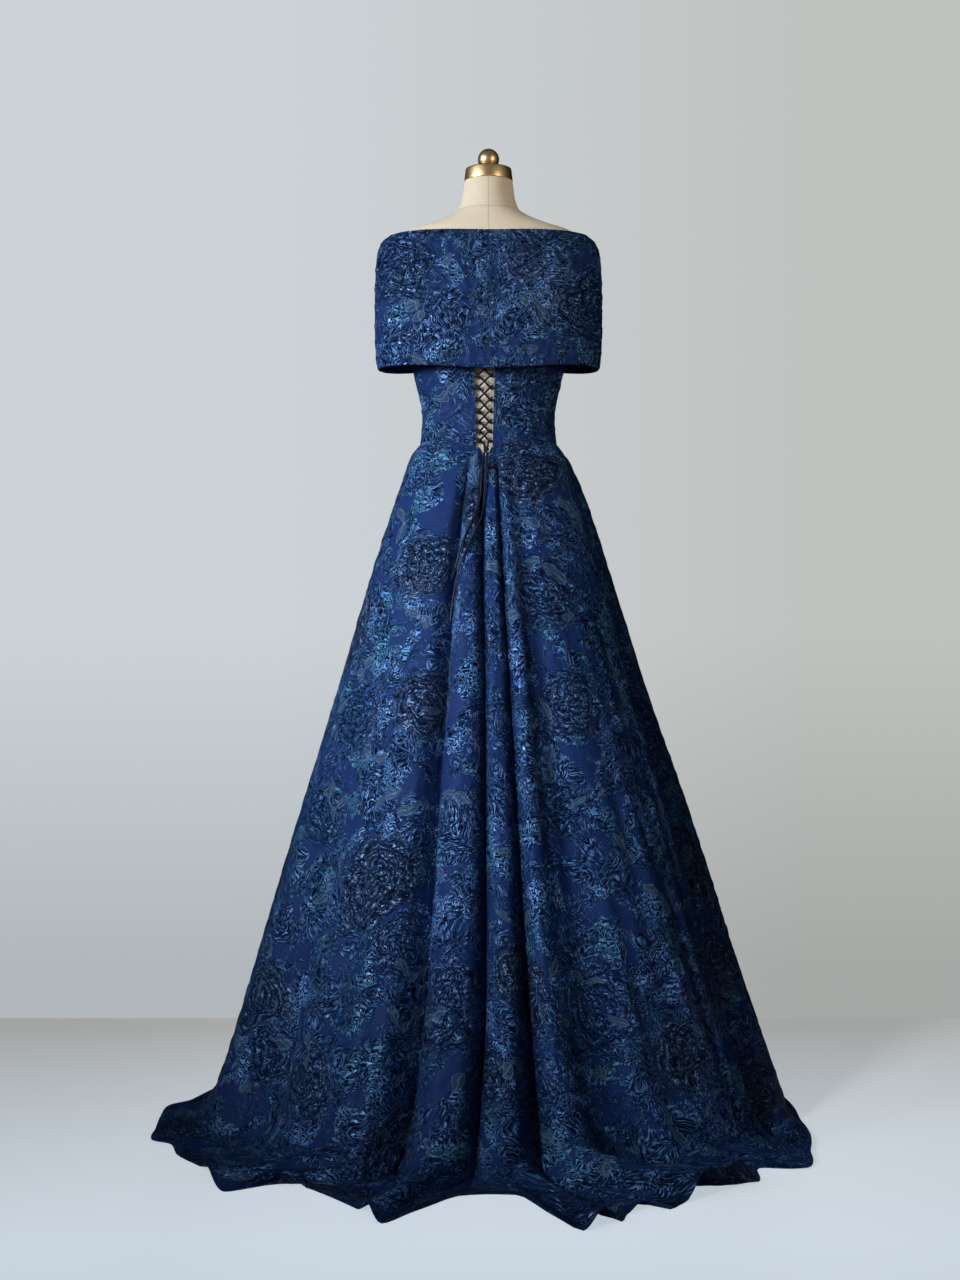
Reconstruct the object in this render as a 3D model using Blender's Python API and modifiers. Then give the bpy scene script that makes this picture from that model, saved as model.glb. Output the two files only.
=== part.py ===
"""A-line gown with a wide off-the-shoulder collar and a laced back, on a limbless dress form.

Units are metres, +Z is up, +Y is the wearer's front and -Y the laced back with the train.
The origin is the middle of the stand's foot, on the floor.
The cloth is made of walls: each panel is a surface worked out from a few sections and folds,
with its thickness inside it. Angles run round the body from the centre back, in degrees, and
are positive towards +X.
"""

import math
from collections import namedtuple

import bmesh
import bpy
import numpy as np

# Thicknesses and gaps
CLOTH = 0.002
COLLAR_THICKNESS = 0.005
SEAM_GAP = 0.0003
WAIST_GAP = 0.0006
BODY_EASE = 0.0072
FLOOR_LIFT = 0.0003

# Dress form and stand
Girth = namedtuple("Girth", "height half_width back front")
FORM_GIRTHS = (
    Girth(0.9000, 0.1550, 0.1100, 0.1000),
    Girth(0.9600, 0.1650, 0.1180, 0.1040),
    Girth(1.0500, 0.1500, 0.1080, 0.1020),
    Girth(1.1200, 0.1300, 0.0960, 0.0980),
    Girth(1.1810, 0.1155, 0.0870, 0.0920),
    Girth(1.2240, 0.1120, 0.0835, 0.0890),
    Girth(1.3000, 0.1260, 0.0930, 0.1030),
    Girth(1.3600, 0.1430, 0.1020, 0.1220),
    Girth(1.4200, 0.1530, 0.1070, 0.1260),
    Girth(1.4800, 0.1630, 0.1030, 0.1080),
    Girth(1.5200, 0.1690, 0.0940, 0.0880),
    Girth(1.5450, 0.1680, 0.0840, 0.0740),
    Girth(1.5610, 0.1500, 0.0750, 0.0640),
    Girth(1.5760, 0.1040, 0.0670, 0.0580),
    Girth(1.5880, 0.0740, 0.0610, 0.0540),
    Girth(1.6000, 0.0560, 0.0550, 0.0510),
    Girth(1.6200, 0.0480, 0.0470, 0.0460),
    Girth(1.6525, 0.0432, 0.0425, 0.0425),
)
FORM_SIDES = 26
HALVED_STEP = 0.035
CAP_HEIGHT = 0.0222
CAP_BOTTOM_RADIUS = 0.0438
CAP_TOP_RADIUS = 0.0412
FINIAL_RADIUS = 0.0192
FINIAL_SEAT_RADIUS = 0.0085
POLE_RADIUS = 0.0125
FOOT_RADIUS = 0.165
FOOT_HEIGHT = 0.030
FOOT_RIM_HEIGHT = 0.012

# Bodice
WAIST_HEIGHT = 1.181
WAIST_DIP = 0.016
WAIST_DIP_SPREAD = 45.0
BACK_TOP_HEIGHT = 1.400
FRONT_TOP_HEIGHT = 1.415
OPENING_X = -0.0075
OPENING_HALF_WAIST = 0.0140
OPENING_HALF_TOP = 0.0215
BODICE_SIDE_SEAM = 86.0
BODICE_STEP = 4.8

# Collar: outer girths from its turned lower edge to its top edge
COLLAR_GIRTHS = (
    Girth(1.2995, 0.1950, 0.1225, 0.1400),
    Girth(1.3300, 0.2020, 0.1235, 0.1420),
    Girth(1.3900, 0.2045, 0.1189, 0.1425),
    Girth(1.4300, 0.2045, 0.1184, 0.1405),
    Girth(1.4800, 0.2035, 0.1150, 0.1280),
    Girth(1.5200, 0.2005, 0.1045, 0.1080),
    Girth(1.5400, 0.1930, 0.0975, 0.0985),
    Girth(1.5520, 0.1770, 0.0940, 0.0930),
)
COLLAR_FRONT_DIP = 0.026
COLLAR_BACK_DIP = 0.006
COLLAR_BOTTOM_SIDE = 1.3135
COLLAR_BOTTOM_BACK_DROP = 0.0135
COLLAR_BOTTOM_FRONT_RISE = 0.028
COLLAR_SIDE_SEAM = 90.0
COLLAR_CENTRE_BACK = -2.0

# Skirt sections down its length. Run is the share of the cut length below the waist seam
Section = namedtuple("Section", "run height left right back front")
SKIRT_SECTIONS = (
    Section(0.000, 1.1810, 0.1215, 0.1215, 0.0930, 0.0980),
    Section(0.010, 1.1690, 0.1320, 0.1310, 0.1010, 0.1060),
    Section(0.023, 1.1520, 0.1415, 0.1430, 0.1100, 0.1140),
    Section(0.077, 1.0800, 0.1665, 0.1755, 0.1420, 0.1380),
    Section(0.161, 0.9700, 0.2030, 0.2110, 0.1840, 0.1710),
    Section(0.352, 0.7200, 0.2770, 0.2860, 0.2680, 0.2450),
    Section(0.520, 0.5000, 0.3430, 0.3610, 0.3380, 0.3100),
    Section(0.682, 0.2880, 0.4050, 0.4280, 0.4050, 0.3680),
    Section(0.820, 0.1080, 0.4600, 0.4860, 0.4650, 0.4130),
    Section(0.870, 0.0430, 0.4840, 0.5100, 0.4930, 0.4280),
)
# The part that lies on the floor: how far each row has come towards the hem, and its height
Spread = namedtuple("Spread", "run share height")
FLOOR_SPREAD = (
    Spread(0.870, 0.00, 0.0430),
    Spread(0.905, 0.22, 0.0160),
    Spread(0.945, 0.53, 0.0050),
    Spread(1.000, 1.00, 0.0023),
)
# Reach of the hem from the stand's axis, round the body
Reach = namedtuple("Reach", "angle radius")
HEM_REACH = (
    Reach(-180, 0.448),
    Reach(-140, 0.462),
    Reach(-105, 0.500),
    Reach(-90, 0.532),
    Reach(-83, 0.570),
    Reach(-77, 0.581),
    Reach(-70, 0.598),
    Reach(-65, 0.616),
    Reach(-61.5, 0.594),
    Reach(-55, 0.608),
    Reach(-49, 0.609),
    Reach(-43, 0.640),
    Reach(-37, 0.666),
    Reach(-33.5, 0.598),
    Reach(-28.5, 0.585),
    Reach(-25.4, 0.595),
    Reach(-17.3, 0.646),
    Reach(-13, 0.696),
    Reach(-10, 0.634),
    Reach(-4.4, 0.553),
    Reach(0, 0.545),
    Reach(4.2, 0.550),
    Reach(8.1, 0.655),
    Reach(10.4, 0.722),
    Reach(13, 0.712),
    Reach(15.7, 0.695),
    Reach(17.2, 0.668),
    Reach(20.5, 0.655),
    Reach(23, 0.668),
    Reach(26.2, 0.652),
    Reach(33, 0.652),
    Reach(40.4, 0.634),
    Reach(45.5, 0.592),
    Reach(48.8, 0.636),
    Reach(50.5, 0.650),
    Reach(57, 0.617),
    Reach(63.5, 0.594),
    Reach(70, 0.570),
    Reach(76, 0.553),
    Reach(84, 0.543),
    Reach(105, 0.520),
    Reach(140, 0.470),
    Reach(180, 0.448),
)
# How high the hem's rolls stand off the floor, in millimetres, by the hem's angle
Rise = namedtuple("Rise", "angle height")
HEM_RISE = (
    Rise(-180, 0),
    Rise(-94, 0),
    Rise(-80, 6),
    Rise(-66, 2),
    Rise(-60, 0),
    Rise(-49, 0),
    Rise(-42.5, 21),
    Rise(-37, 0),
    Rise(-34, 0),
    Rise(-31, 13),
    Rise(-28, 0),
    Rise(-17.5, 0),
    Rise(-15.2, 23),
    Rise(-12.8, 0),
    Rise(10.2, 0),
    Rise(13, 28),
    Rise(15.8, 0),
    Rise(16.8, 0),
    Rise(19.8, 13),
    Rise(23, 0),
    Rise(26, 0),
    Rise(29.5, 44),
    Rise(35, 45),
    Rise(40.5, 0),
    Rise(46, 0),
    Rise(57, 5),
    Rise(66, 6),
    Rise(78, 0),
    Rise(180, 0),
)
# Folds. Across is the fold's place round the cloth; angles, and lifts in millimetres, are where it
# runs and how far it stands out or in, at the stations below. Sharp folds close to a crease
STATIONS = (0.0, 0.10, 0.35, 0.68, 0.87, 1.0)
Fold = namedtuple("Fold", "name across half_width sharp angles lifts")
SKIRT_FOLDS = (
    Fold("front_far_left_valley", -170, 11, False, (-170,) * 6, (0, -1, -8, -13, -14, -3)),
    Fold("front_left_ridge", -150, 11, False, (-150,) * 6, (0, 1, 6, 11, 14, 12)),
    Fold("front_left_valley", -130, 11, False, (-130,) * 6, (0, -1, -9, -16, -17, -3)),
    Fold("front_side_left_ridge", -110, 11, False, (-110,) * 6, (0, 1, 5, 9, 13, 10)),
    Fold("side_left_valley", -92, 8, False, (-92,) * 6, (0, -1, -6, -12, -15, -2)),
    Fold("side_left_tip", -69, 12, False, (-72, -72, -71, -68, -66, -71), (0, 0, 3, 8, 16, 0)),
    Fold("side_left_hollow", -53, 12, False, (-55, -55, -54, -53, -53, -57), (0, 0, -8, -24, -30, 0)),
    Fold("left_roll_left_foot", -38, 5, False, (-38.8, -38.8, -37.8, -37, -36.5, -49), (0,) * 6),
    Fold("left_panel_ridge", -28, 9, False, (-28, -28, -27, -26, -25.5, -42.5), (0, 1, 6, 15, 26, 0)),
    Fold("left_roll_right_foot", -22.8, 3, False, (-22.3, -23.3, -22.1, -21, -21.8, -37), (0, 0, 0, 0, 6, 0)),
    Fold("left_pleat_valley", -18, 6.5, True, (-17, -19, -17.5, -16, -18, -30.5), (0, -20, -33, -46, -62, 0)),
    Fold("centre_roll_left_foot", -13.4, 3, False, (-12.7, -14.1, -12.6, -11.8, -13, -17.6), (0,) * 6),
    Fold("centre_left_ridge", -10.5, 5, False, (-10, -11, -9.5, -8.5, -9.5, -15.2), (0, 1, 5, 9, 16, 0)),
    Fold("centre_roll_right_foot", -8.2, 3, False, (-8.3, -8.9, -7, -6.2, -7.6, -12.7), (0,) * 6),
    Fold("centre_valley", -3, 4.5, True, (-4.5, -4, -1.5, -1, -2.6, -3.5), (0, -20, -29, -38, -48, 0)),
    Fold("right_roll_left_foot", 1.2, 3, False, (-0.2, 0.2, 1.4, 1.9, 1.2, 10.2), (0,) * 6),
    Fold("centre_right_ridge", 3.5, 4, False, (2, 2.5, 3, 3.2, 3.2, 13), (0, 0, 3, 8, 18, 0)),
    Fold("right_roll_right_foot", 5.8, 3, False, (4.3, 4.6, 5.3, 5.7, 6, 15.8), (0,) * 6),
    Fold("right_pleat_valley", 8.5, 3.8, True, (7, 7, 8.2, 9, 9.8, 20), (0, -15, -27, -38, -48, 0)),
    Fold("far_roll_left_foot", 10.7, 3, False, (9, 9.2, 10, 10.8, 12.6, 26), (0,) * 6),
    Fold("right_pleat_ridge", 13, 5, False, (11, 11.5, 12, 12.6, 15.5, 31), (0, 2, 8, 15, 24, 0)),
    Fold("far_roll_right_foot", 17.6, 4, False, (15.3, 16.1, 16.9, 18.2, 21.6, 40.5), (0,) * 6),
    Fold("right_panel_hollow", 21.5, 8, False, (19, 20, 21, 23, 27.5, 46), (0, -5, -15, -23, -27, 0)),
    Fold("right_panel_ridge", 44, 15, False, (40, 40, 43, 47, 50, 52), (0, 0, 4, 10, 13, 0)),
    Fold("side_right_valley", 68, 7, True, (76, 73, 70, 66, 63, 60), (0, -4, -13, -20, -24, 0)),
    Fold("side_right_tip", 80, 9, False, (88, 86, 83, 79, 74, 68), (0, 0, 4, 8, 16, 0)),
    Fold("side_right_front_valley", 97, 8, False, (98,) * 6, (0, -1, -6, -12, -14, -2)),
    Fold("front_side_right_ridge", 114, 11, False, (114,) * 6, (0, 1, 5, 10, 13, 10)),
    Fold("front_right_valley", 133, 11, False, (133,) * 6, (0, -1, -8, -15, -16, -3)),
    Fold("front_right_ridge", 153, 11, False, (153,) * 6, (0, 1, 6, 12, 14, 12)),
    Fold("front_far_right_valley", 171, 9, False, (171,) * 6, (0, -1, -5, -9, -9, -3)),
)
CENTRE_BACK_SEAM = -3.0
RIGHT_SIDE_SEAM = 68.0
LEFT_SIDE_SEAM = -79.0
NOTCH_DEPTH = 0.016
NOTCH_HALF_ANGLE = 8.0

# Lacing
LACE_RADIUS = 0.0018
LOOP_RADIUS = 0.0011
LOOP_REACH = 0.0065
LOOP_HALF_HEIGHT = 0.0032
LOOP_DEPTH = -0.0010
LACE_TURN_RADIUS = 0.0035
LACE_OVER = 0.0011
LACE_UNDER = -0.0029
LOWEST_LOOP_HEIGHT = 1.1765
LOOP_PITCHES = (0.0165, 0.017, 0.0188, 0.020, 0.0205, 0.0205, 0.021, 0.022)
KNOT_HEIGHT = 1.1605
KNOT_X = -0.0045
KNOT_RADIUS = 0.0046
LACE_END_APART = 0.0029
LACE_END_ABOVE = 0.0047
TAIL_CLEARANCE = 0.0006
TAIL_BRIDGE = 1.5
TAIL_STEP = 2.6
TailPoint = namedtuple("TailPoint", "height angle")
LEFT_TAIL = (
    TailPoint(1.1540, -4.0),
    TailPoint(1.1420, -4.9),
    TailPoint(1.115, -5.6),
    TailPoint(1.086, -5.6),
    TailPoint(1.056, -7.2),
    TailPoint(1.032, -10.2),
    TailPoint(1.004, -13.8),
    TailPoint(0.975, -16.2),
    TailPoint(0.952, -17.6),
)
RIGHT_TAIL = (
    TailPoint(1.1540, -1.6),
    TailPoint(1.1420, -1.8),
    TailPoint(1.115, -2.4),
    TailPoint(1.082, -2.9),
    TailPoint(1.042, -4.4),
    TailPoint(1.016, -7.6),
    TailPoint(0.982, -12.0),
    TailPoint(0.945, -15.6),
    TailPoint(0.912, -17.0),
    TailPoint(0.884, -17.8),
    TailPoint(0.858, -18.0),
)

COLOURS = {
    "brocade": ((0.018, 0.065, 0.24), 0.45, 0.0),
    "linen": ((0.72, 0.66, 0.55), 0.85, 0.0),
    "brass": ((0.55, 0.38, 0.13), 0.35, 1.0),
    "lace": ((0.012, 0.02, 0.05), 0.6, 0.0),
    "iron": ((0.05, 0.05, 0.055), 0.5, 0.6),
}


def clear_scene():
    for obj in list(bpy.data.objects):
        bpy.data.objects.remove(obj)


def material(name):
    """The named finish, made once and shared."""
    if name in bpy.data.materials:
        return bpy.data.materials[name]
    colour, roughness, metallic = COLOURS[name]
    made = bpy.data.materials.new(name)
    made.use_nodes = True
    shader = made.node_tree.nodes["Principled BSDF"]
    shader.inputs["Base Color"].default_value = (*colour, 1.0)
    shader.inputs["Roughness"].default_value = roughness
    shader.inputs["Metallic"].default_value = metallic
    return made


def add_object(name, data, finish):
    obj = bpy.data.objects.new(name, data)
    data.materials.append(material(finish))
    bpy.data.collections["a_line_gown"].objects.link(obj)
    return obj


def smooth_through(x, stations, values):
    """Monotone cubic curve through the values at the stations, read at x.

    Values may hold one number a station, or an array of the shape of x for each.
    """
    x = np.asarray(x, float)
    stations = np.asarray(stations, float)
    values = np.asarray(values, float)
    if values.ndim == 1:
        values = values.reshape((-1,) + (1,) * x.ndim) * np.ones(x.shape)
    steps = np.diff(stations)
    slopes = np.diff(values, axis=0) / steps.reshape((-1,) + (1,) * x.ndim)
    before, after = slopes[:-1], slopes[1:]
    rising = before * after > 0
    inner = np.where(rising, 2 * before * after / np.where(rising, before + after, 1), 0.0)
    tangents = np.concatenate([slopes[:1], inner, slopes[-1:]])
    x = np.clip(x, stations[0], stations[-1])
    index = np.clip(np.searchsorted(stations, x, side="right") - 1, 0, len(steps) - 1)
    width = steps[index]
    t = (x - stations[index]) / width

    def at(table, place):
        return np.take_along_axis(table, place[None], axis=0)[0]

    return (
        at(values, index) * (1 + 2 * t) * (1 - t) ** 2
        + at(values, index + 1) * t**2 * (3 - 2 * t)
        + width * t * (1 - t) * (at(tangents, index) * (1 - t) - at(tangents, index + 1) * t)
    )


def oval_radius(angle, left, right, back, front):
    """Distance from the axis to an oval whose four half-axes differ, at an angle in radians."""
    side = np.where(np.sin(angle) < 0, left, right)
    depth = np.where(np.cos(angle) > 0, back, front)
    return 1 / np.sqrt((np.sin(angle) / side) ** 2 + (np.cos(angle) / depth) ** 2)


def girth_radius(girths, degrees, height):
    """Radius at an angle and height of a body given by girths."""
    heights = [g.height for g in girths]
    half_width, back, front = (
        smooth_through(height, heights, [getattr(g, part) for g in girths])
        for part in ("half_width", "back", "front")
    )
    return oval_radius(np.radians(degrees), half_width, half_width, back, front)


def around(degrees, radius, height):
    """Point at an angle from the centre back, a radius from the axis and a height."""
    angle = np.radians(degrees)
    return np.stack(np.broadcast_arrays(radius * np.sin(angle), -radius * np.cos(angle), height), axis=-1)


def waist_seam_height(degrees):
    """The waist seam, which dips at the centre back."""
    share = np.clip(np.abs(degrees - CENTRE_BACK_SEAM) / WAIST_DIP_SPREAD, 0, 1)
    return WAIST_HEIGHT - WAIST_DIP * (1 - share**2) ** 2


def fold_angles(across, run):
    """Where cloth at a place across the skirt has got to round the body, at a run down it."""
    folded = np.array([fold.across for fold in SKIRT_FOLDS], float)
    known = np.concatenate([[folded[-1] - 360], folded, [folded[0] + 360]])
    rows = np.array([fold.angles for fold in SKIRT_FOLDS], float)
    rows = np.vstack([rows[-1] - 360, rows, rows[0] + 360])
    at_stations = np.stack([np.interp(across, known, rows[:, k]) for k in range(len(STATIONS))])
    return smooth_through(run, STATIONS, at_stations)


def fold_lift(across, run):
    """How far the folds move the cloth out from its plain section."""
    lift = np.zeros(np.shape(across))
    fullness = 2.0 - smooth_through(run, (0.0, 0.8, 1.0), (0.0, 0.0, 1.0))
    for fold in SKIRT_FOLDS:
        away = (across - fold.across + 180) % 360 - 180
        t = np.clip(np.abs(away) / fold.half_width, 0, 1)
        shape = (1 - t) ** 2 if fold.sharp else (1 - t**2) ** fullness
        lift = lift + smooth_through(run, STATIONS, fold.lifts) * 0.001 * shape
    return lift


def hem_rise(across, run):
    """How far the hem's rolls lift the cloth off the floor: most at the hem, none where it leaves the floor."""
    angle = (fold_angles(across, np.ones(np.shape(run))) + 180) % 360 - 180
    height = smooth_through(angle, [r.angle for r in HEM_RISE], [r.height for r in HEM_RISE])
    return height * 0.001 * smooth_through(run, (0.86, 0.93, 1.0), (0.0, 0.45, 1.0))


def plain_skirt(across, run):
    """Skirt without its folds: a flared cone that turns out along the floor to the hem."""
    degrees = fold_angles(across, run)
    angle = np.radians(degrees)
    runs = [s.run for s in SKIRT_SECTIONS]
    axes = [
        smooth_through(run, runs, [getattr(s, part) for s in SKIRT_SECTIONS])
        for part in ("left", "right", "back", "front")
    ]
    radius = oval_radius(angle, *axes)
    height = smooth_through(run, runs, [s.height for s in SKIRT_SECTIONS])
    spread = [s.run for s in FLOOR_SPREAD]
    share = smooth_through(run, spread, [s.share for s in FLOOR_SPREAD])
    hem = smooth_through((degrees + 180) % 360 - 180, [r.angle for r in HEM_REACH], [r.radius for r in HEM_REACH])
    radius = radius + (hem - radius) * share
    low = smooth_through(run, spread, [s.height for s in FLOOR_SPREAD])
    height = np.where(run > spread[0], low, height) + hem_rise(across, run)
    top = waist_seam_height(degrees) - WAIST_GAP - WAIST_HEIGHT
    notch = np.clip(1 - np.abs(across - CENTRE_BACK_SEAM) / NOTCH_HALF_ANGLE, 0, 1)
    height = height + (top - NOTCH_DEPTH * notch) * np.clip(1 - run / 0.12, 0, 1) ** 2
    return around(degrees, radius, height)


def skirt_point(across, run):
    """Outer face of the skirt, with its folds, as an array of points."""
    across = (across + 180) % 360 - 180
    step_across, step_run = 0.05, 0.0005
    along = plain_skirt(across + step_across, run) - plain_skirt(across - step_across, run)
    down = plain_skirt(across, np.minimum(run + step_run, 1)) - plain_skirt(across, np.maximum(run - step_run, 0))
    outward = np.cross(down, along)
    outward /= np.linalg.norm(outward, axis=-1, keepdims=True)
    points = plain_skirt(across, run) + outward * fold_lift(across, run)[..., None]
    points[..., 2] = np.maximum(points[..., 2], CLOTH + FLOOR_LIFT)
    return points


def wall_mesh(name, surface, across, run):
    """Closed wall with its outer face on a surface, at a grid of places on it, and its inner one inside."""
    step_across, step_run = 0.2, 0.002
    outer = surface(across, run)
    along = surface(across + step_across, run) - surface(across - step_across, run)
    down = surface(across, np.minimum(run + step_run, 1)) - surface(across, np.maximum(run - step_run, 0))
    outward = np.cross(down, along)
    outward /= np.linalg.norm(outward, axis=-1, keepdims=True)
    inner = outer - outward * CLOTH
    rows, columns = across.shape
    bm = bmesh.new()
    front, back = ([[bm.verts.new(p) for p in row] for row in face] for face in (outer, inner))
    for i in range(rows - 1):
        for j in range(columns - 1):
            bm.faces.new((front[i][j], front[i + 1][j], front[i + 1][j + 1], front[i][j + 1]))
            bm.faces.new((back[i][j], back[i][j + 1], back[i + 1][j + 1], back[i + 1][j]))
    for i in range(rows - 1):
        bm.faces.new((front[i][0], back[i][0], back[i + 1][0], front[i + 1][0]))
        bm.faces.new((front[i][-1], front[i + 1][-1], back[i + 1][-1], back[i][-1]))
    for j in range(columns - 1):
        bm.faces.new((front[0][j], front[0][j + 1], back[0][j + 1], back[0][j]))
        bm.faces.new((front[-1][j], back[-1][j], back[-1][j + 1], front[-1][j + 1]))
    mesh = bpy.data.meshes.new(name)
    bm.to_mesh(mesh)
    bm.free()
    mesh.shade_smooth()
    return mesh


def cloth_panel(name, surface, across, run):
    """Panel of cloth whose outer face lies on a surface."""
    return add_object(name, wall_mesh(name, surface, across, run), "brocade")


def spaced(start, end, step):
    """Evenly spaced numbers from start to end, about a step apart."""
    return np.linspace(start, end, max(2, round(abs(end - start) / step) + 1))


def inset(columns, degrees):
    """The columns with the first and last moved in, which leaves half a seam gap at each."""
    columns = np.array(columns, float)
    columns[0] += degrees
    columns[-1] -= degrees
    return columns


def make_skirt():
    """Back left, back right and front, cut to the centre back and side seams."""
    rows = [0, 0.01, 0.023, 0.06, 0.12, 0.22, 0.38, 0.56, 0.70, 0.80, 0.855, 0.89, 0.93, 1.0]
    fine, coarse = 1.55, 5.0
    panels = {
        "skirt_back_left": np.concatenate(
            [spaced(LEFT_SIDE_SEAM, -43, coarse)[:-1], spaced(-43, CENTRE_BACK_SEAM, fine)]
        ),
        "skirt_back_right": np.concatenate(
            [spaced(CENTRE_BACK_SEAM, 24, fine)[:-1], spaced(24, RIGHT_SIDE_SEAM, coarse)]
        ),
        "skirt_front": spaced(RIGHT_SIDE_SEAM, LEFT_SIDE_SEAM + 360, 7.0),
    }
    for name, columns in panels.items():
        run, across = np.meshgrid(rows, inset(columns, 0.04), indexing="ij")
        cloth_panel(name, skirt_point, across, run)


def opening_half_width(height):
    """Half of the laced opening, which widens from the waist up."""
    share = (height - WAIST_HEIGHT) / (BACK_TOP_HEIGHT - WAIST_HEIGHT)
    return OPENING_HALF_WAIST + (OPENING_HALF_TOP - OPENING_HALF_WAIST) * share


def bodice_radius(degrees, height):
    return girth_radius(FORM_GIRTHS, degrees, height) + BODY_EASE


def bodice_top_height(degrees):
    front = (1 - np.cos(np.radians(degrees))) / 2
    return BACK_TOP_HEIGHT + (FRONT_TOP_HEIGHT - BACK_TOP_HEIGHT) * front


def bodice_point(degrees, share):
    """Outer face of the bodice, a share of the way down from its top edge to the waist seam."""
    degrees = (degrees + 180) % 360 - 180
    low, high = waist_seam_height(degrees), bodice_top_height(degrees)
    heights = high + share * (low - high)
    return around(degrees, bodice_radius(degrees, heights), heights)


def bodice_grid(first, last, opening_side=0):
    """Places on the bodice between two angles; the edge on the opening's side follows the opening."""
    shares = np.linspace(0, 1, 8)
    columns = inset(spaced(first, last, BODICE_STEP), 0.1)
    across = np.tile(columns, (len(shares), 1))
    for row, share in zip(across, shares):
        if opening_side:
            height = BACK_TOP_HEIGHT + share * (WAIST_HEIGHT - BACK_TOP_HEIGHT)
            edge_x = OPENING_X + opening_side * opening_half_width(height)
            edge = math.degrees(math.asin(edge_x / float(bodice_radius(0, height))))
            row[:] = np.linspace(*((row[0], edge) if opening_side < 0 else (edge, row[-1])), len(row))
    return across, np.repeat(shares[:, None], len(columns), axis=1)


def make_bodice():
    cloth_panel("bodice_back_left", bodice_point, *bodice_grid(-BODICE_SIDE_SEAM, 0, opening_side=-1))
    cloth_panel("bodice_back_right", bodice_point, *bodice_grid(0, BODICE_SIDE_SEAM, opening_side=1))
    cloth_panel("bodice_front", bodice_point, *bodice_grid(BODICE_SIDE_SEAM, 360 - BODICE_SIDE_SEAM))


def collar_top_height(degrees):
    """The collar's top edge, lower at the front and a little lower at the back than on the shoulders."""
    cosine = np.cos(np.radians(degrees))
    dip = np.where(cosine > 0, COLLAR_BACK_DIP, COLLAR_FRONT_DIP) * cosine**2
    return COLLAR_GIRTHS[-1].height - dip


def collar_bottom_height(degrees):
    """The collar's lower edge, level at the back and rising towards the front."""
    cosine = np.cos(np.radians(degrees))
    change = np.where(cosine > 0, -COLLAR_BOTTOM_BACK_DROP, COLLAR_BOTTOM_FRONT_RISE)
    return COLLAR_BOTTOM_SIDE + change * cosine**2


def collar_profile(degrees):
    """Closed loop of points across the doubled collar, turned round at its upper and lower edges."""
    low, high = float(collar_bottom_height(degrees)), float(collar_top_height(degrees))
    half = COLLAR_THICKNESS / 2
    loop = []
    for share in (1.0, 0.93, 0.84, 0.7, 0.54, 0.38, 0.2, 0.08, 0.0):
        height = low + half + share * (high - low - COLLAR_THICKNESS)
        loop.append((float(girth_radius(COLLAR_GIRTHS, degrees, height)), height))
    bottom_radius = loop[-1][0]
    turn = [(bottom_radius - half, low)]
    inner = [(radius - COLLAR_THICKNESS, height) for radius, height in reversed(loop)]
    top = [(loop[0][0] - half, high)]
    return [around(degrees, radius, height) for radius, height in loop + turn + inner + top]


def make_collar():
    """The folded band round the shoulders, in a front and two backs that meet at the centre back."""
    pieces = {
        "collar_back_left": spaced(-COLLAR_SIDE_SEAM, COLLAR_CENTRE_BACK, 8),
        "collar_back_right": spaced(COLLAR_CENTRE_BACK, COLLAR_SIDE_SEAM, 8),
        "collar_front": spaced(COLLAR_SIDE_SEAM, 360 - COLLAR_SIDE_SEAM, 9),
    }
    for name, columns in pieces.items():
        add_object(name, ring_solid(name, [collar_profile(c) for c in inset(columns, 0.06)]), "brocade")


def ring_solid(name, sections):
    """Closed solid through a row of closed sections, capped at both ends."""
    bm = bmesh.new()
    rings = [[bm.verts.new(point) for point in section] for section in sections]
    for near, far in zip(rings, rings[1:]):
        for k in range(len(near)):
            after = (k + 1) % len(near)
            bm.faces.new((near[k], near[after], far[after], far[k]))
    bm.faces.new(list(reversed(rings[0])))
    bm.faces.new(rings[-1])
    bmesh.ops.recalc_face_normals(bm, faces=bm.faces)
    mesh = bpy.data.meshes.new(name)
    bm.to_mesh(mesh)
    bm.free()
    mesh.shade_smooth()
    return mesh


def make_form():
    """The padded torso and neck, lofted up through its girths."""
    columns = np.linspace(0, 360, FORM_SIDES, endpoint=False)
    heights = [girth.height for girth in FORM_GIRTHS]
    halfway = [(low + high) / 2 for low, high in zip(heights, heights[1:]) if high - low > HALVED_STEP]
    sections = [
        around(columns, girth_radius(FORM_GIRTHS, columns, np.full(FORM_SIDES, height)), height)
        for height in sorted(heights + halfway)
    ]
    add_object("form_torso", ring_solid("form_torso", sections), "linen")


def turned(name, profile, finish, sides):
    """Solid of revolution about Z from a profile given as radius and height, top to bottom."""
    mesh = bpy.data.meshes.new(name)
    mesh.from_pydata([(radius, 0, height) for radius, height in profile], [(i, i + 1) for i in range(len(profile) - 1)], [])
    obj = add_object(name, mesh, finish)
    screw = obj.modifiers.new("turn", "SCREW")
    screw.steps = sides
    screw.render_steps = sides
    screw.use_merge_vertices = True
    screw.merge_threshold = 0.00005
    return obj


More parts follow.
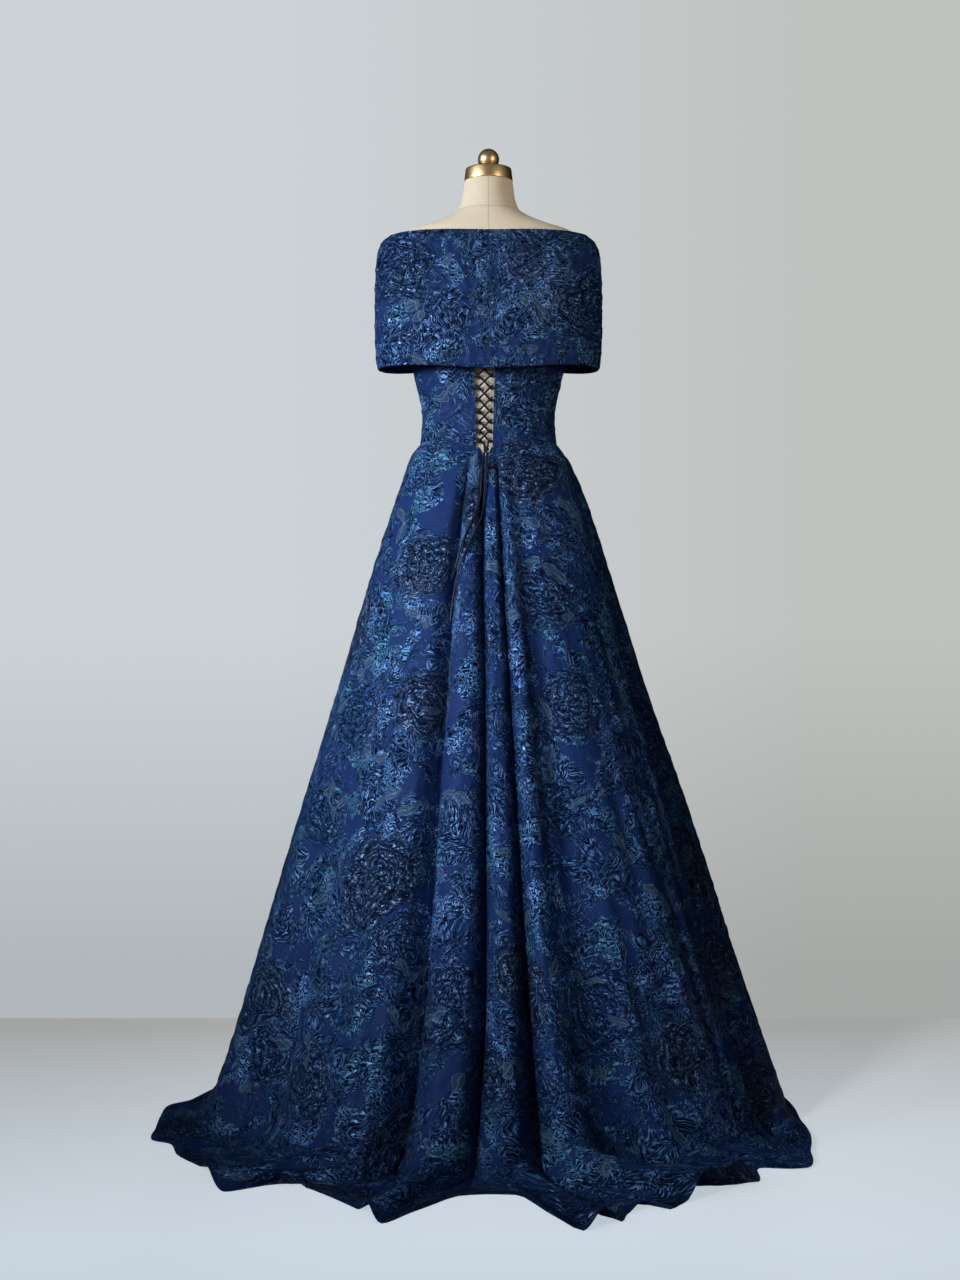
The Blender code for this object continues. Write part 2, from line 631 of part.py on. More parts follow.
def make_fittings():
    """Neck cap, finial, pole and foot, all turned about the stand's axis."""
    neck_top = FORM_GIRTHS[-1].height + SEAM_GAP
    cap_top = neck_top + CAP_HEIGHT
    turned(
        "form_neck_cap",
        [
            (0, cap_top),
            (CAP_TOP_RADIUS - 0.004, cap_top),
            (CAP_TOP_RADIUS, cap_top - 0.003),
            (CAP_BOTTOM_RADIUS, neck_top + 0.002),
            (CAP_BOTTOM_RADIUS - 0.001, neck_top),
            (0, neck_top),
        ],
        "brass",
        28,
    )
    seat = cap_top + SEAM_GAP
    centre = seat + math.sqrt(FINIAL_RADIUS**2 - FINIAL_SEAT_RADIUS**2)
    lowest = math.asin(FINIAL_SEAT_RADIUS / FINIAL_RADIUS)
    ball = [
        (FINIAL_RADIUS * math.sin(a), centre + FINIAL_RADIUS * math.cos(a))
        for a in np.linspace(0, math.pi - lowest, 9)
    ]
    turned("form_finial", [*ball, (0, seat)], "brass", 20)

    pole_top = FORM_GIRTHS[0].height - SEAM_GAP
    pole_bottom = FOOT_HEIGHT + SEAM_GAP
    bpy.ops.mesh.primitive_cylinder_add(
        vertices=16,
        radius=POLE_RADIUS,
        depth=pole_top - pole_bottom,
        location=(0, 0, (pole_top + pole_bottom) / 2),
    )
    pole = bpy.context.object
    pole.name = "stand_pole"
    pole.data.materials.append(material("iron"))
    for collection in list(pole.users_collection):
        collection.objects.unlink(pole)
    bpy.data.collections["a_line_gown"].objects.link(pole)
    turned(
        "stand_foot",
        [
            (0, FOOT_HEIGHT),
            (POLE_RADIUS * 2, FOOT_HEIGHT),
            (POLE_RADIUS * 3, FOOT_RIM_HEIGHT + 0.008),
            (FOOT_RADIUS - 0.006, FOOT_RIM_HEIGHT),
            (FOOT_RADIUS, FOOT_RIM_HEIGHT - 0.005),
            (FOOT_RADIUS, 0),
            (0, 0),
        ],
        "iron",
        32,
    )


def cord_object(name, points, radius, resolution=1):
    """Round cord along a list of points, with closed ends."""
    curve = bpy.data.curves.new(name, "CURVE")
    curve.dimensions = "3D"
    curve.bevel_depth = radius
    curve.bevel_resolution = resolution
    curve.use_fill_caps = True
    spline = curve.splines.new("POLY")
    spline.points.add(len(points) - 1)
    for target, point in zip(spline.points, points):
        target.co = (*[float(v) for v in point], 1.0)
    return add_object(name, curve, "lace")


def loop_heights():
    """Heights of the lacing loops, from the top down."""
    heights = LOWEST_LOOP_HEIGHT + np.concatenate([[0], np.cumsum(LOOP_PITCHES)])
    return heights[::-1]


def lacing_point(x, height, depth):
    """Point over the laced opening: x from the axis, a height, and a depth out from the bodice's outer face."""
    degrees = math.degrees(math.asin(x / float(bodice_radius(0, height))))
    return around(degrees, float(bodice_radius(degrees, height)) + depth, height)


def make_loops():
    """Rolled loops sewn along both edges of the opening, lying in the thickness of the cloth."""
    for side, label in ((-1, "left"), (1, "right")):
        for number, height in enumerate(loop_heights(), start=1):
            edge = OPENING_X + side * (opening_half_width(height) - SEAM_GAP - 0.0002)
            tip = edge - side * (LOOP_REACH - LOOP_HALF_HEIGHT)
            points = [lacing_point(edge, height + LOOP_HALF_HEIGHT, LOOP_DEPTH)]
            for turn in (90, 30, -30, -90):
                angle = math.radians(turn)
                x = tip - side * LOOP_HALF_HEIGHT * math.cos(angle)
                z = height + LOOP_HALF_HEIGHT * math.sin(angle)
                points.append(lacing_point(x, z, LOOP_DEPTH))
            points.append(lacing_point(edge, height - LOOP_HALF_HEIGHT, LOOP_DEPTH))
            cord_object(f"lace_loop_{label}_{number}", points, LOOP_RADIUS)


def strand(first_side, first_face):
    """One strand of the lacing down the opening: round each loop's tip, changing face, then across."""
    points = []
    side, face = first_side, first_face
    heights = loop_heights()
    for number, height in enumerate(heights):
        tip_x = OPENING_X + side * (opening_half_width(height) - LOOP_REACH)
        for turn in (90, 45, 0, -45, -90):
            angle = math.radians(turn * face)
            x = tip_x + side * LACE_TURN_RADIUS * math.cos(angle)
            z = height + 0.0005 * turn / 90
            points.append(lacing_point(x, z, LOOP_DEPTH + LACE_TURN_RADIUS * math.sin(angle)))
        face = -face
        if number + 1 < len(heights):
            middle = (height + heights[number + 1]) / 2
            points.append(lacing_point(OPENING_X, middle, LACE_OVER if face > 0 else LACE_UNDER))
        side = -side
    return points


def make_lacing():
    """The lace: up one side of the crossings, over the top and down the other, to a knot and two tails."""
    left, right = strand(-1, 1), strand(1, -1)
    knot_depth = LACE_OVER + 0.0035
    ends = [
        lacing_point(KNOT_X + side * LACE_END_APART, KNOT_HEIGHT + LACE_END_ABOVE, knot_depth - 0.001)
        for side in (-1, 1)
    ]
    out_through = lacing_point(KNOT_X - 0.0035, KNOT_HEIGHT + 0.0095, LACE_UNDER)
    cord_object("lace", [ends[0], out_through, *reversed(left), *right, ends[1]], LACE_RADIUS)
    bpy.ops.mesh.primitive_uv_sphere_add(
        segments=12,
        ring_count=8,
        radius=KNOT_RADIUS,
        location=lacing_point(KNOT_X, KNOT_HEIGHT, knot_depth),
    )
    knot = bpy.context.object
    knot.name = "lace_knot"
    knot.data.materials.append(material("lace"))
    for collection in list(knot.users_collection):
        collection.objects.unlink(knot)
    bpy.data.collections["a_line_gown"].objects.link(knot)
    for name, rows in (("lace_tail_left", LEFT_TAIL), ("lace_tail_right", RIGHT_TAIL)):
        cord_object(name, tail_route(rows), LACE_RADIUS, resolution=2)


def run_at_height(height):
    """The run down the skirt at which its section has that height."""
    runs = [s.run for s in SKIRT_SECTIONS]
    heights = [s.height for s in SKIRT_SECTIONS]
    return float(np.interp(-height, [-h for h in heights], runs))


def tail_route(rows):
    """Points of a hanging tail: its table's places, just clear of the skirt and across its hollows."""
    numbers = np.arange(len(rows), dtype=float)
    fine = np.linspace(0, len(rows) - 1, 12 * len(rows))
    heights = smooth_through(fine, numbers, [row.height for row in rows])
    angles = smooth_through(fine, numbers, [row.angle for row in rows])
    across = np.arange(-45.0, 30.0, 0.25)
    radii = []
    for height, degrees in zip(heights, angles):
        skirt = skirt_point(across, np.full(across.shape, run_at_height(height)))
        near = np.abs(np.degrees(np.arctan2(skirt[:, 0], -skirt[:, 1])) - degrees) < TAIL_BRIDGE
        radii.append(float(np.hypot(skirt[near, 0], skirt[near, 1]).max()))
    padded = np.pad(radii, 4, mode="edge")
    even = np.convolve(padded, np.ones(9) / 9, mode="valid")
    curve = around(angles, np.maximum(even, radii) + LACE_RADIUS + TAIL_CLEARANCE, heights)
    lengths = np.concatenate([[0], np.cumsum(np.linalg.norm(np.diff(curve, axis=0), axis=1))])
    count = round(lengths[-1] / (TAIL_STEP * 2 * LACE_RADIUS)) + 1
    wanted = np.linspace(0, lengths[-1], count)
    return np.stack([np.interp(wanted, lengths, curve[:, axis]) for axis in range(3)], axis=1)


def main():
    clear_scene()
    collection = bpy.data.collections.new("a_line_gown")
    bpy.context.scene.collection.children.link(collection)
    make_form()
    make_fittings()
    make_bodice()
    make_skirt()
    make_collar()
    make_loops()
    make_lacing()


main()
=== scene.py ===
"""A-line gown of crinkled brocade with a laced back, on a limbless dress form.

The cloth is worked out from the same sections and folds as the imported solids, at a finer grain.
Units are metres, +Z is up and -Y is the laced back. Angles run round the body from the centre
back, in degrees, positive towards +X.
"""

from __future__ import annotations

import logging
import math
from collections.abc import Callable, Sequence
from dataclasses import dataclass
from enum import Enum
from typing import Any, NamedTuple

import bmesh
import bpy
import numpy as np
from bpy.types import Curve, Material, Mesh, Node, NodeTree, Object
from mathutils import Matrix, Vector

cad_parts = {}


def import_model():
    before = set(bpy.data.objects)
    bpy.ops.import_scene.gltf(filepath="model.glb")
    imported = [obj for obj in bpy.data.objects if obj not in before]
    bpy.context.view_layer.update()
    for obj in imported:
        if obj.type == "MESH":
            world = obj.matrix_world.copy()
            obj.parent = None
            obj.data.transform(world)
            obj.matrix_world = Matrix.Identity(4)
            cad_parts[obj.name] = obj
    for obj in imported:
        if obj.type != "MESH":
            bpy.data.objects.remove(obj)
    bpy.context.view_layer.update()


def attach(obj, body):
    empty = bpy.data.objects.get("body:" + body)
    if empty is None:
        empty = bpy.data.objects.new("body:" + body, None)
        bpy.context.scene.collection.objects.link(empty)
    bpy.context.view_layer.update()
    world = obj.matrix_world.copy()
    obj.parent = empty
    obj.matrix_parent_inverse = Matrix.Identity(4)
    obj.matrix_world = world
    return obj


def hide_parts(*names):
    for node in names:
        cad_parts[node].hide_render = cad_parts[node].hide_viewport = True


log = logging.getLogger("gown")

Grid = np.ndarray
Surface = Callable[[Grid, Grid], Grid]


class Girth(NamedTuple):
    """A level section of a body: its height and its half-axes."""

    height: float
    half_width: float
    back: float
    front: float


class Section(NamedTuple):
    """A section of the skirt, at a share of its cut length below the waist seam."""

    run: float
    height: float
    left: float
    right: float
    back: float
    front: float


class Spread(NamedTuple):
    """How far a row on the floor has come towards the hem, and how high it lies."""

    run: float
    share: float
    height: float


class Reach(NamedTuple):
    """How far the hem lies from the stand's axis at an angle."""

    angle: float
    radius: float


class Rise(NamedTuple):
    """How high the hem stands off the floor at an angle, in millimetres."""

    angle: float
    height: float


class Fold(NamedTuple):
    """A fold of the skirt: its place across the cloth, and its path and lift at the stations."""

    name: str
    across: float
    half_width: float
    sharp: bool
    angles: Sequence[float]
    lifts: Sequence[float]


class TailPoint(NamedTuple):
    """A place that a hanging lace end passes."""

    height: float
    angle: float


class Lamp(NamedTuple):
    """A soft rectangular light: its power in watts, its spread in degrees, and whether cloth shines in it."""

    name: str
    size: tuple[float, float]
    place: tuple[float, float, float]
    aim: tuple[float, float, float]
    power: float
    tint: str
    spread: float
    sheen: bool = True


class Held(Enum):
    """How a sheet of cloth is held."""

    HUNG = "hung"
    STRETCHED = "stretched"


# Lengths in metres. Puckers die out over EDGE_FADE rows at a panel's edges, and no panel's worked-out
# area is taken as less than LEAST_CUT of the rectangle that it was cut from. No panel is stated as
# covering less than LEAST_CUT of the rectangle that it was cut from.
CLOTH = 0.002
COLLAR_THICKNESS = 0.005
SEAM_GAP = 0.0003
WAIST_GAP = 0.0006
BODY_EASE = 0.0072
FLOOR_LIFT = 0.0003
EDGE_FADE = 4
LEAST_CUT = 0.31

FORM_GIRTHS = tuple(
    Girth(*row)
    for row in (
        (0.9, 0.155, 0.11, 0.1), (0.96, 0.165, 0.118, 0.104), (1.05, 0.15, 0.108, 0.102), (1.12, 0.13, 0.096, 0.098),
        (1.181, 0.1155, 0.087, 0.092), (1.224, 0.112, 0.0835, 0.089), (1.3, 0.126, 0.093, 0.103),
        (1.36, 0.143, 0.102, 0.122), (1.42, 0.153, 0.107, 0.126), (1.48, 0.163, 0.103, 0.108),
        (1.52, 0.169, 0.094, 0.088), (1.545, 0.168, 0.084, 0.074), (1.561, 0.15, 0.075, 0.064),
        (1.576, 0.104, 0.067, 0.058), (1.588, 0.074, 0.061, 0.054), (1.6, 0.056, 0.055, 0.051),
        (1.62, 0.048, 0.047, 0.046), (1.6525, 0.0432, 0.0425, 0.0425),
    )
)
COLLAR_GIRTHS = tuple(
    Girth(*row)
    for row in (
        (1.2995, 0.195, 0.1225, 0.14), (1.33, 0.202, 0.1235, 0.142), (1.39, 0.2045, 0.1189, 0.1425),
        (1.43, 0.2045, 0.1184, 0.1405), (1.48, 0.2035, 0.115, 0.128), (1.52, 0.2005, 0.1045, 0.108),
        (1.54, 0.193, 0.0975, 0.0985), (1.552, 0.177, 0.094, 0.093),
    )
)
SKIRT_SECTIONS = tuple(
    Section(*row)
    for row in (
        (0.0, 1.181, 0.1215, 0.1215, 0.093, 0.098), (0.01, 1.169, 0.132, 0.131, 0.101, 0.106),
        (0.023, 1.152, 0.1415, 0.143, 0.11, 0.114), (0.077, 1.08, 0.1665, 0.1755, 0.142, 0.138),
        (0.161, 0.97, 0.203, 0.211, 0.184, 0.171), (0.352, 0.72, 0.277, 0.286, 0.268, 0.245),
        (0.52, 0.5, 0.343, 0.361, 0.338, 0.31), (0.682, 0.288, 0.405, 0.428, 0.405, 0.368),
        (0.82, 0.108, 0.46, 0.486, 0.465, 0.413), (0.87, 0.043, 0.484, 0.51, 0.493, 0.428),
    )
)
FLOOR_SPREAD = tuple(
    Spread(*row)
    for row in (
        (0.87, 0.0, 0.043), (0.905, 0.22, 0.016), (0.945, 0.53, 0.005), (1.0, 1.0, 0.0023),
    )
)
HEM_REACH = tuple(
    Reach(*row)
    for row in (
        (-180, 0.448), (-140, 0.462), (-105, 0.5), (-90, 0.532), (-83, 0.57), (-77, 0.581), (-70, 0.598),
        (-65, 0.616), (-61.5, 0.594), (-55, 0.608), (-49, 0.609), (-43, 0.64), (-37, 0.666), (-33.5, 0.598),
        (-28.5, 0.585), (-25.4, 0.595), (-17.3, 0.646), (-13, 0.696), (-10, 0.634), (-4.4, 0.553), (0, 0.545),
        (4.2, 0.55), (8.1, 0.655), (10.4, 0.722), (13, 0.712), (15.7, 0.695), (17.2, 0.668), (20.5, 0.655),
        (23, 0.668), (26.2, 0.652), (33, 0.652), (40.4, 0.634), (45.5, 0.592), (48.8, 0.636), (50.5, 0.65),
        (57, 0.617), (63.5, 0.594), (70, 0.57), (76, 0.553), (84, 0.543), (105, 0.52), (140, 0.47), (180, 0.448),
    )
)
HEM_RISE = tuple(
    Rise(*row)
    for row in (
        (-180, 0), (-94, 0), (-80, 6), (-66, 2), (-60, 0), (-49, 0), (-42.5, 21), (-37, 0), (-34, 0), (-31, 13),
        (-28, 0), (-17.5, 0), (-15.2, 23), (-12.8, 0), (10.2, 0), (13, 28), (15.8, 0), (16.8, 0), (19.8, 13), (23, 0),
        (26, 0), (29.5, 44), (35, 45), (40.5, 0), (46, 0), (57, 5), (66, 6), (78, 0), (180, 0),
    )
)
STATIONS = (0.0, 0.10, 0.35, 0.68, 0.87, 1.0)
SKIRT_FOLDS = (
    Fold("front_far_left_valley", -170, 11, False, (-170,) * 6, (0, -1, -8, -13, -14, -3)),
    Fold("front_left_ridge", -150, 11, False, (-150,) * 6, (0, 1, 6, 11, 14, 12)),
    Fold("front_left_valley", -130, 11, False, (-130,) * 6, (0, -1, -9, -16, -17, -3)),
    Fold("front_side_left_ridge", -110, 11, False, (-110,) * 6, (0, 1, 5, 9, 13, 10)),
    Fold("side_left_valley", -92, 8, False, (-92,) * 6, (0, -1, -6, -12, -15, -2)),
    Fold("side_left_tip", -69, 12, False, (-72, -72, -71, -68, -66, -71), (0, 0, 3, 8, 16, 0)),
    Fold("side_left_hollow", -53, 12, False, (-55, -55, -54, -53, -53, -57), (0, 0, -8, -24, -30, 0)),
    Fold("left_roll_left_foot", -38, 5, False, (-38.8, -38.8, -37.8, -37, -36.5, -49), (0,) * 6),
    Fold("left_panel_ridge", -28, 9, False, (-28, -28, -27, -26, -25.5, -42.5), (0, 1, 6, 15, 26, 0)),
    Fold("left_roll_right_foot", -22.8, 3, False, (-22.3, -23.3, -22.1, -21, -21.8, -37), (0, 0, 0, 0, 6, 0)),
    Fold("left_pleat_valley", -18, 6.5, True, (-17, -19, -17.5, -16, -18, -30.5), (0, -20, -33, -46, -62, 0)),
    Fold("centre_roll_left_foot", -13.4, 3, False, (-12.7, -14.1, -12.6, -11.8, -13, -17.6), (0,) * 6),
    Fold("centre_left_ridge", -10.5, 5, False, (-10, -11, -9.5, -8.5, -9.5, -15.2), (0, 1, 5, 9, 16, 0)),
    Fold("centre_roll_right_foot", -8.2, 3, False, (-8.3, -8.9, -7, -6.2, -7.6, -12.7), (0,) * 6),
    Fold("centre_valley", -3, 4.5, True, (-4.5, -4, -1.5, -1, -2.6, -3.5), (0, -20, -29, -38, -48, 0)),
    Fold("right_roll_left_foot", 1.2, 3, False, (-0.2, 0.2, 1.4, 1.9, 1.2, 10.2), (0,) * 6),
    Fold("centre_right_ridge", 3.5, 4, False, (2, 2.5, 3, 3.2, 3.2, 13), (0, 0, 3, 8, 18, 0)),
    Fold("right_roll_right_foot", 5.8, 3, False, (4.3, 4.6, 5.3, 5.7, 6, 15.8), (0,) * 6),
    Fold("right_pleat_valley", 8.5, 3.8, True, (7, 7, 8.2, 9, 9.8, 20), (0, -15, -27, -38, -48, 0)),
    Fold("far_roll_left_foot", 10.7, 3, False, (9, 9.2, 10, 10.8, 12.6, 26), (0,) * 6),
    Fold("right_pleat_ridge", 13, 5, False, (11, 11.5, 12, 12.6, 15.5, 31), (0, 2, 8, 15, 24, 0)),
    Fold("far_roll_right_foot", 17.6, 4, False, (15.3, 16.1, 16.9, 18.2, 21.6, 40.5), (0,) * 6),
    Fold("right_panel_hollow", 21.5, 8, False, (19, 20, 21, 23, 27.5, 46), (0, -5, -15, -23, -27, 0)),
    Fold("right_panel_ridge", 44, 15, False, (40, 40, 43, 47, 50, 52), (0, 0, 4, 10, 13, 0)),
    Fold("side_right_valley", 68, 7, True, (76, 73, 70, 66, 63, 60), (0, -4, -13, -20, -24, 0)),
    Fold("side_right_tip", 80, 9, False, (88, 86, 83, 79, 74, 68), (0, 0, 4, 8, 16, 0)),
    Fold("side_right_front_valley", 97, 8, False, (98,) * 6, (0, -1, -6, -12, -14, -2)),
    Fold("front_side_right_ridge", 114, 11, False, (114,) * 6, (0, 1, 5, 10, 13, 10)),
    Fold("front_right_valley", 133, 11, False, (133,) * 6, (0, -1, -8, -15, -16, -3)),
    Fold("front_right_ridge", 153, 11, False, (153,) * 6, (0, 1, 6, 12, 14, 12)),
    Fold("front_far_right_valley", 171, 9, False, (171,) * 6, (0, -1, -5, -9, -9, -3)),
)
LAMPS = (
    Lamp("window", (1.3, 1.1), (-3.0, -1.75, 1.95), (0.0, 0.0, 1.33), 9.8, "#f4f7ff", 41.0),
    Lamp("far_window", (0.6, 0.6), (-2.1, -3.2, 2.1), (0.08, -0.25, 0.66), 3.9, "#f6f9ff", 30.0),
    Lamp("warm_fill", (0.8, 0.8), (2.3, -2.3, 1.75), (0.06, 0.0, 1.54), 0.8, "#ffe6cc", 22.0),
    Lamp("room_behind", (1.0, 1.0), (0.5, 3.8, 2.2), (0.0, 0.15, 1.05), 2.6, "#f4f7ff", 40.0, False),
)


def smooth_through(x: Any, stations: Sequence[float], values: Any) -> Grid:
    """Monotone cubic curve through the values at the stations, read at x.

    Args:
        x: Where to read it, as a number or an array.
        stations: The places of the values.
        values: One number a station, or an array of the shape of x for each.

    Returns:
        The curve's values, in the shape of x.
    """
    x = np.asarray(x, float)
    places = np.asarray(stations, float)
    known = np.asarray(values, float)
    if known.ndim == 1:
        known = known.reshape((-1,) + (1,) * x.ndim) * np.ones(x.shape)
    steps = np.diff(places)
    slopes = np.diff(known, axis=0) / steps.reshape((-1,) + (1,) * x.ndim)
    before, after = slopes[:-1], slopes[1:]
    rising = before * after > 0
    inner = np.where(rising, 2 * before * after / np.where(rising, before + after, 1), 0.0)
    tangents = np.concatenate([slopes[:1], inner, slopes[-1:]])
    x = np.clip(x, places[0], places[-1])
    index = np.clip(np.searchsorted(places, x, side="right") - 1, 0, len(steps) - 1)
    width = steps[index]
    t = (x - places[index]) / width

    def at(table: Grid, place: Grid) -> Grid:
        """Entry of the table for each place."""
        return np.take_along_axis(table, place[None], axis=0)[0]

    return (
        at(known, index) * (1 + 2 * t) * (1 - t) ** 2
        + at(known, index + 1) * t**2 * (3 - 2 * t)
        + width * t * (1 - t) * (at(tangents, index) * (1 - t) - at(tangents, index + 1) * t)
    )


def read_table(x: Any, table: Sequence[Any], place: str, part: str) -> Grid:
    """Monotone cubic curve through one column of a table against another, read at x."""
    return smooth_through(x, [getattr(row, place) for row in table], [getattr(row, part) for row in table])


def wrapped(degrees: Any) -> Any:
    """The same angle between -180 and 180 degrees."""
    return (degrees + 180) % 360 - 180


def edge_fade(count: int) -> Grid:
    """Share of the puckers at each row or column: none at the edges, all of it a few in."""
    place = np.arange(count)
    return np.clip(np.minimum(place, place[::-1]) / EDGE_FADE, 0, 1)


def oval_radius(angle: Grid, left: Any, right: Any, back: Any, front: Any) -> Grid:
    """Distance from the axis to an oval whose four half-axes differ, at an angle in radians."""
    side = np.where(np.sin(angle) < 0, left, right)
    depth = np.where(np.cos(angle) > 0, back, front)
    return 1 / np.sqrt((np.sin(angle) / side) ** 2 + (np.cos(angle) / depth) ** 2)


def girth_radius(girths: Sequence[Girth], degrees: Any, height: Any) -> Grid:
    """Radius at an angle and height of a body given by girths."""
    half_width, back, front = (read_table(height, girths, "height", part) for part in ("half_width", "back", "front"))
    return oval_radius(np.radians(degrees), half_width, half_width, back, front)


def around(degrees: Any, radius: Any, height: Any) -> Grid:
    """Point at an angle from the centre back, a radius from the axis and a height."""
    angle = np.radians(degrees)
    return np.stack(np.broadcast_arrays(radius * np.sin(angle), -radius * np.cos(angle), height), axis=-1)


def inset(columns: Any, degrees: float) -> Grid:
    """The columns with the first and last moved in, which leaves half a seam gap at each."""
    moved = np.array(columns, float)
    moved[0] += degrees
    moved[-1] -= degrees
    return moved


@dataclass(frozen=True)
class Puckers:
    """The unevenness of crinkled cloth: waves of many lengths and directions laid over each other."""

    seed: int
    shortest: float = 0.013
    longest: float = 0.055
    height: float = 0.0005
    waves: int = 36

    def lift(self, u: Grid, v: Grid) -> Grid:
        """Height of the cloth above its smooth face at places on it, in metres."""
        rng = np.random.default_rng(self.seed)
        total = np.zeros(np.shape(u))
        for _ in range(self.waves):
            length = self.shortest * (self.longest / self.shortest) ** rng.random()
            turn, phase = rng.random(2) * 2 * math.pi
            weight = (length / self.longest) ** 0.5
            total += weight * np.cos(2 * math.pi * (u * math.cos(turn) + v * math.sin(turn)) / length + phase)
        return total / total.std() * self.height


@dataclass(frozen=True)
class Sheet:
    """A cloth wall's grid: its outer and inner faces, and where each point was on the flat cloth."""

    outer: Grid
    inner: Grid
    flat: Grid

    def area(self) -> float:
        """Area of the outer face in square metres."""
        down = np.diff(self.outer, axis=0)[:, :-1]
        along = np.diff(self.outer, axis=1)[:-1]
        return float(np.linalg.norm(np.cross(down, along), axis=-1).sum())

    def cut(self) -> tuple[float, float]:
        """Width and length of the rectangle that the flat cloth was cut from."""
        spread = self.flat.reshape(-1, 2)
        width, length = spread.max(axis=0) - spread.min(axis=0)
        return float(width), float(length)


def face_outward(
    surface: Surface, across: Grid, run: Grid, step_across: float = 0.12, step_run: float = 0.0012
) -> Grid:
    """Unit directions out of a surface at a grid of places on it, from points a step to each side."""
    along = surface(across + step_across, run) - surface(across - step_across, run)
    down = surface(across, np.minimum(run + step_run, 1)) - surface(across, np.maximum(run - step_run, 0))
    outward = np.cross(down, along)
    return outward / np.linalg.norm(outward, axis=-1, keepdims=True)


def lay_flat(points: Grid, length: float, run: Grid, offset: float) -> Grid:
    """Where a grid of cloth points lay on the flat cloth, measured along each row from its middle."""
    steps = np.linalg.norm(np.diff(points, axis=1), axis=2)
    along = np.concatenate([np.zeros((len(points), 1)), np.cumsum(steps, axis=1)], axis=1)
    middle = along[:, along.shape[1] // 2][:, None]
    return np.stack([along - middle + offset, run * length], axis=-1)


def wall_mesh(name: str, sheet: Sheet, closed_ring: bool = False) -> Mesh:
    """Closed mesh of a cloth wall, with its flat cloth as UV map.

    Args:
        name: The mesh's name.
        sheet: The grid; its rows run down and its columns round to +X.
        closed_ring: Whether the rows close on themselves, as a folded band's section does.

    Returns:
        The mesh, smooth but for its edges.
    """
    rows, columns = sheet.outer.shape[:2]
    if closed_ring:
        index = np.arange(rows * columns).reshape(rows, columns)
        after = np.roll(index, -1, axis=0)
        quads = np.stack([index[:, :-1], after[:, :-1], after[:, 1:], index[:, 1:]], axis=-1).reshape(-1, 4)
        faces = quads.tolist() + [index[::-1, 0].tolist(), index[:, -1].tolist()]
        points, flat = sheet.outer.reshape(-1, 3), sheet.flat.reshape(-1, 2)
    else:
        count = rows * columns
        index = np.arange(count).reshape(rows, columns)
        face = np.stack([index[:-1, :-1], index[1:, :-1], index[1:, 1:], index[:-1, 1:]], axis=-1).reshape(-1, 4)
        edge = np.concatenate([index[:-1, 0], index[-1, :-1], index[:0:-1, -1], index[0, :0:-1]])
        after = np.roll(edge, -1)
        rim = np.stack([edge, edge + count, after + count, after], axis=-1)
        faces = np.concatenate([face, face[:, ::-1] + count, rim]).tolist()
        points = np.concatenate([sheet.outer.reshape(-1, 3), sheet.inner.reshape(-1, 3)])
        flat = np.concatenate([sheet.flat.reshape(-1, 2)] * 2)
    mesh = bpy.data.meshes.new(name)
    mesh.from_pydata(points.tolist(), [], faces)
    corners = np.empty(len(mesh.loops), np.int32)
    mesh.loops.foreach_get("vertex_index", corners)
    mesh.uv_layers.new(name="cloth").uv.foreach_set("vector", flat[corners].astype(np.float32).ravel())
    mesh.shade_smooth()
    mesh.set_sharp_from_angle(angle=math.radians(70))
    return mesh


def put(name: str, data: bpy.types.ID, finish: Material) -> Object:
    """New object at the origin, in one finish."""
    data.materials.append(finish)
    made = bpy.data.objects.new(name, data)
    bpy.context.scene.collection.objects.link(made)
    return made


def dress(piece: Object, nodes: Sequence[str]) -> None:
    """Let a piece ride on the part and stand for its solids."""
    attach(piece, "root")
    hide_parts(*nodes)
    log.info("%s stands for %s", piece.name, ", ".join(nodes))


def linear(code: str) -> tuple[float, float, float, float]:
    """Linear colour of an sRGB hex value such as #243f7a."""
    parts = [int(code[i : i + 2], 16) / 255 for i in (1, 3, 5)]
    red, green, blue = (p / 12.92 if p <= 0.04045 else ((p + 0.055) / 1.055) ** 2.4 for p in parts)
    return red, green, blue, 1.0


def feed(tree: NodeTree, node: Node, links: dict[str | int, Any]) -> None:
    """Set a node's inputs, by name or number, each to a value, a node's first output or a socket."""
    for socket, value in links.items():
        source = value.outputs[0] if isinstance(value, Node) else value
        if isinstance(source, bpy.types.NodeSocket):
            tree.links.new(source, node.inputs[socket])
        else:
            node.inputs[socket].default_value = source


def add_node(tree: NodeTree, kind: str, settings: dict[str, Any], links: dict[str | int, Any]) -> Node:
    """New node in a tree.

    Args:
        tree: The material's nodes.
        kind: The node's type, after its prefix.
        settings: The node's own properties.
        links: Its inputs, as feed takes them.

    Returns:
        The node.
    """
    made = tree.nodes.new(f"ShaderNode{kind}")
    for name, value in settings.items():
        setattr(made, name, value)
    feed(tree, made, links)
    return made


def calc(tree: NodeTree, operation: str, *values: Any) -> bpy.types.NodeSocket:
    """Result of one sum on numbers or sockets."""
    return add_node(tree, "Math", {"operation": operation}, dict(enumerate(values))).outputs[0]


def remap(tree: NodeTree, value: Any, low: float, high: float, first: float, last: float, kind: str = "LINEAR") -> Any:
    """Value taken from one range to another, and held at its ends."""
    links = {"Value": value, "From Min": low, "From Max": high, "To Min": first, "To Max": last}
    return add_node(tree, "MapRange", {"interpolation_type": kind}, links).outputs[0]


def mix_colours(tree: NodeTree, share: Any, first: Any, second: Any) -> Any:
    """Colour between two, by the second's share."""
    return add_node(tree, "Mix", {"data_type": "RGBA"}, {0: share, 6: first, 7: second}).outputs[2]


def mix_numbers(tree: NodeTree, share: Any, first: Any, second: Any) -> Any:
    """Number between two, by the second's share."""
    return add_node(tree, "Mix", {"data_type": "FLOAT"}, {0: share, 2: first, 3: second}).outputs[0]


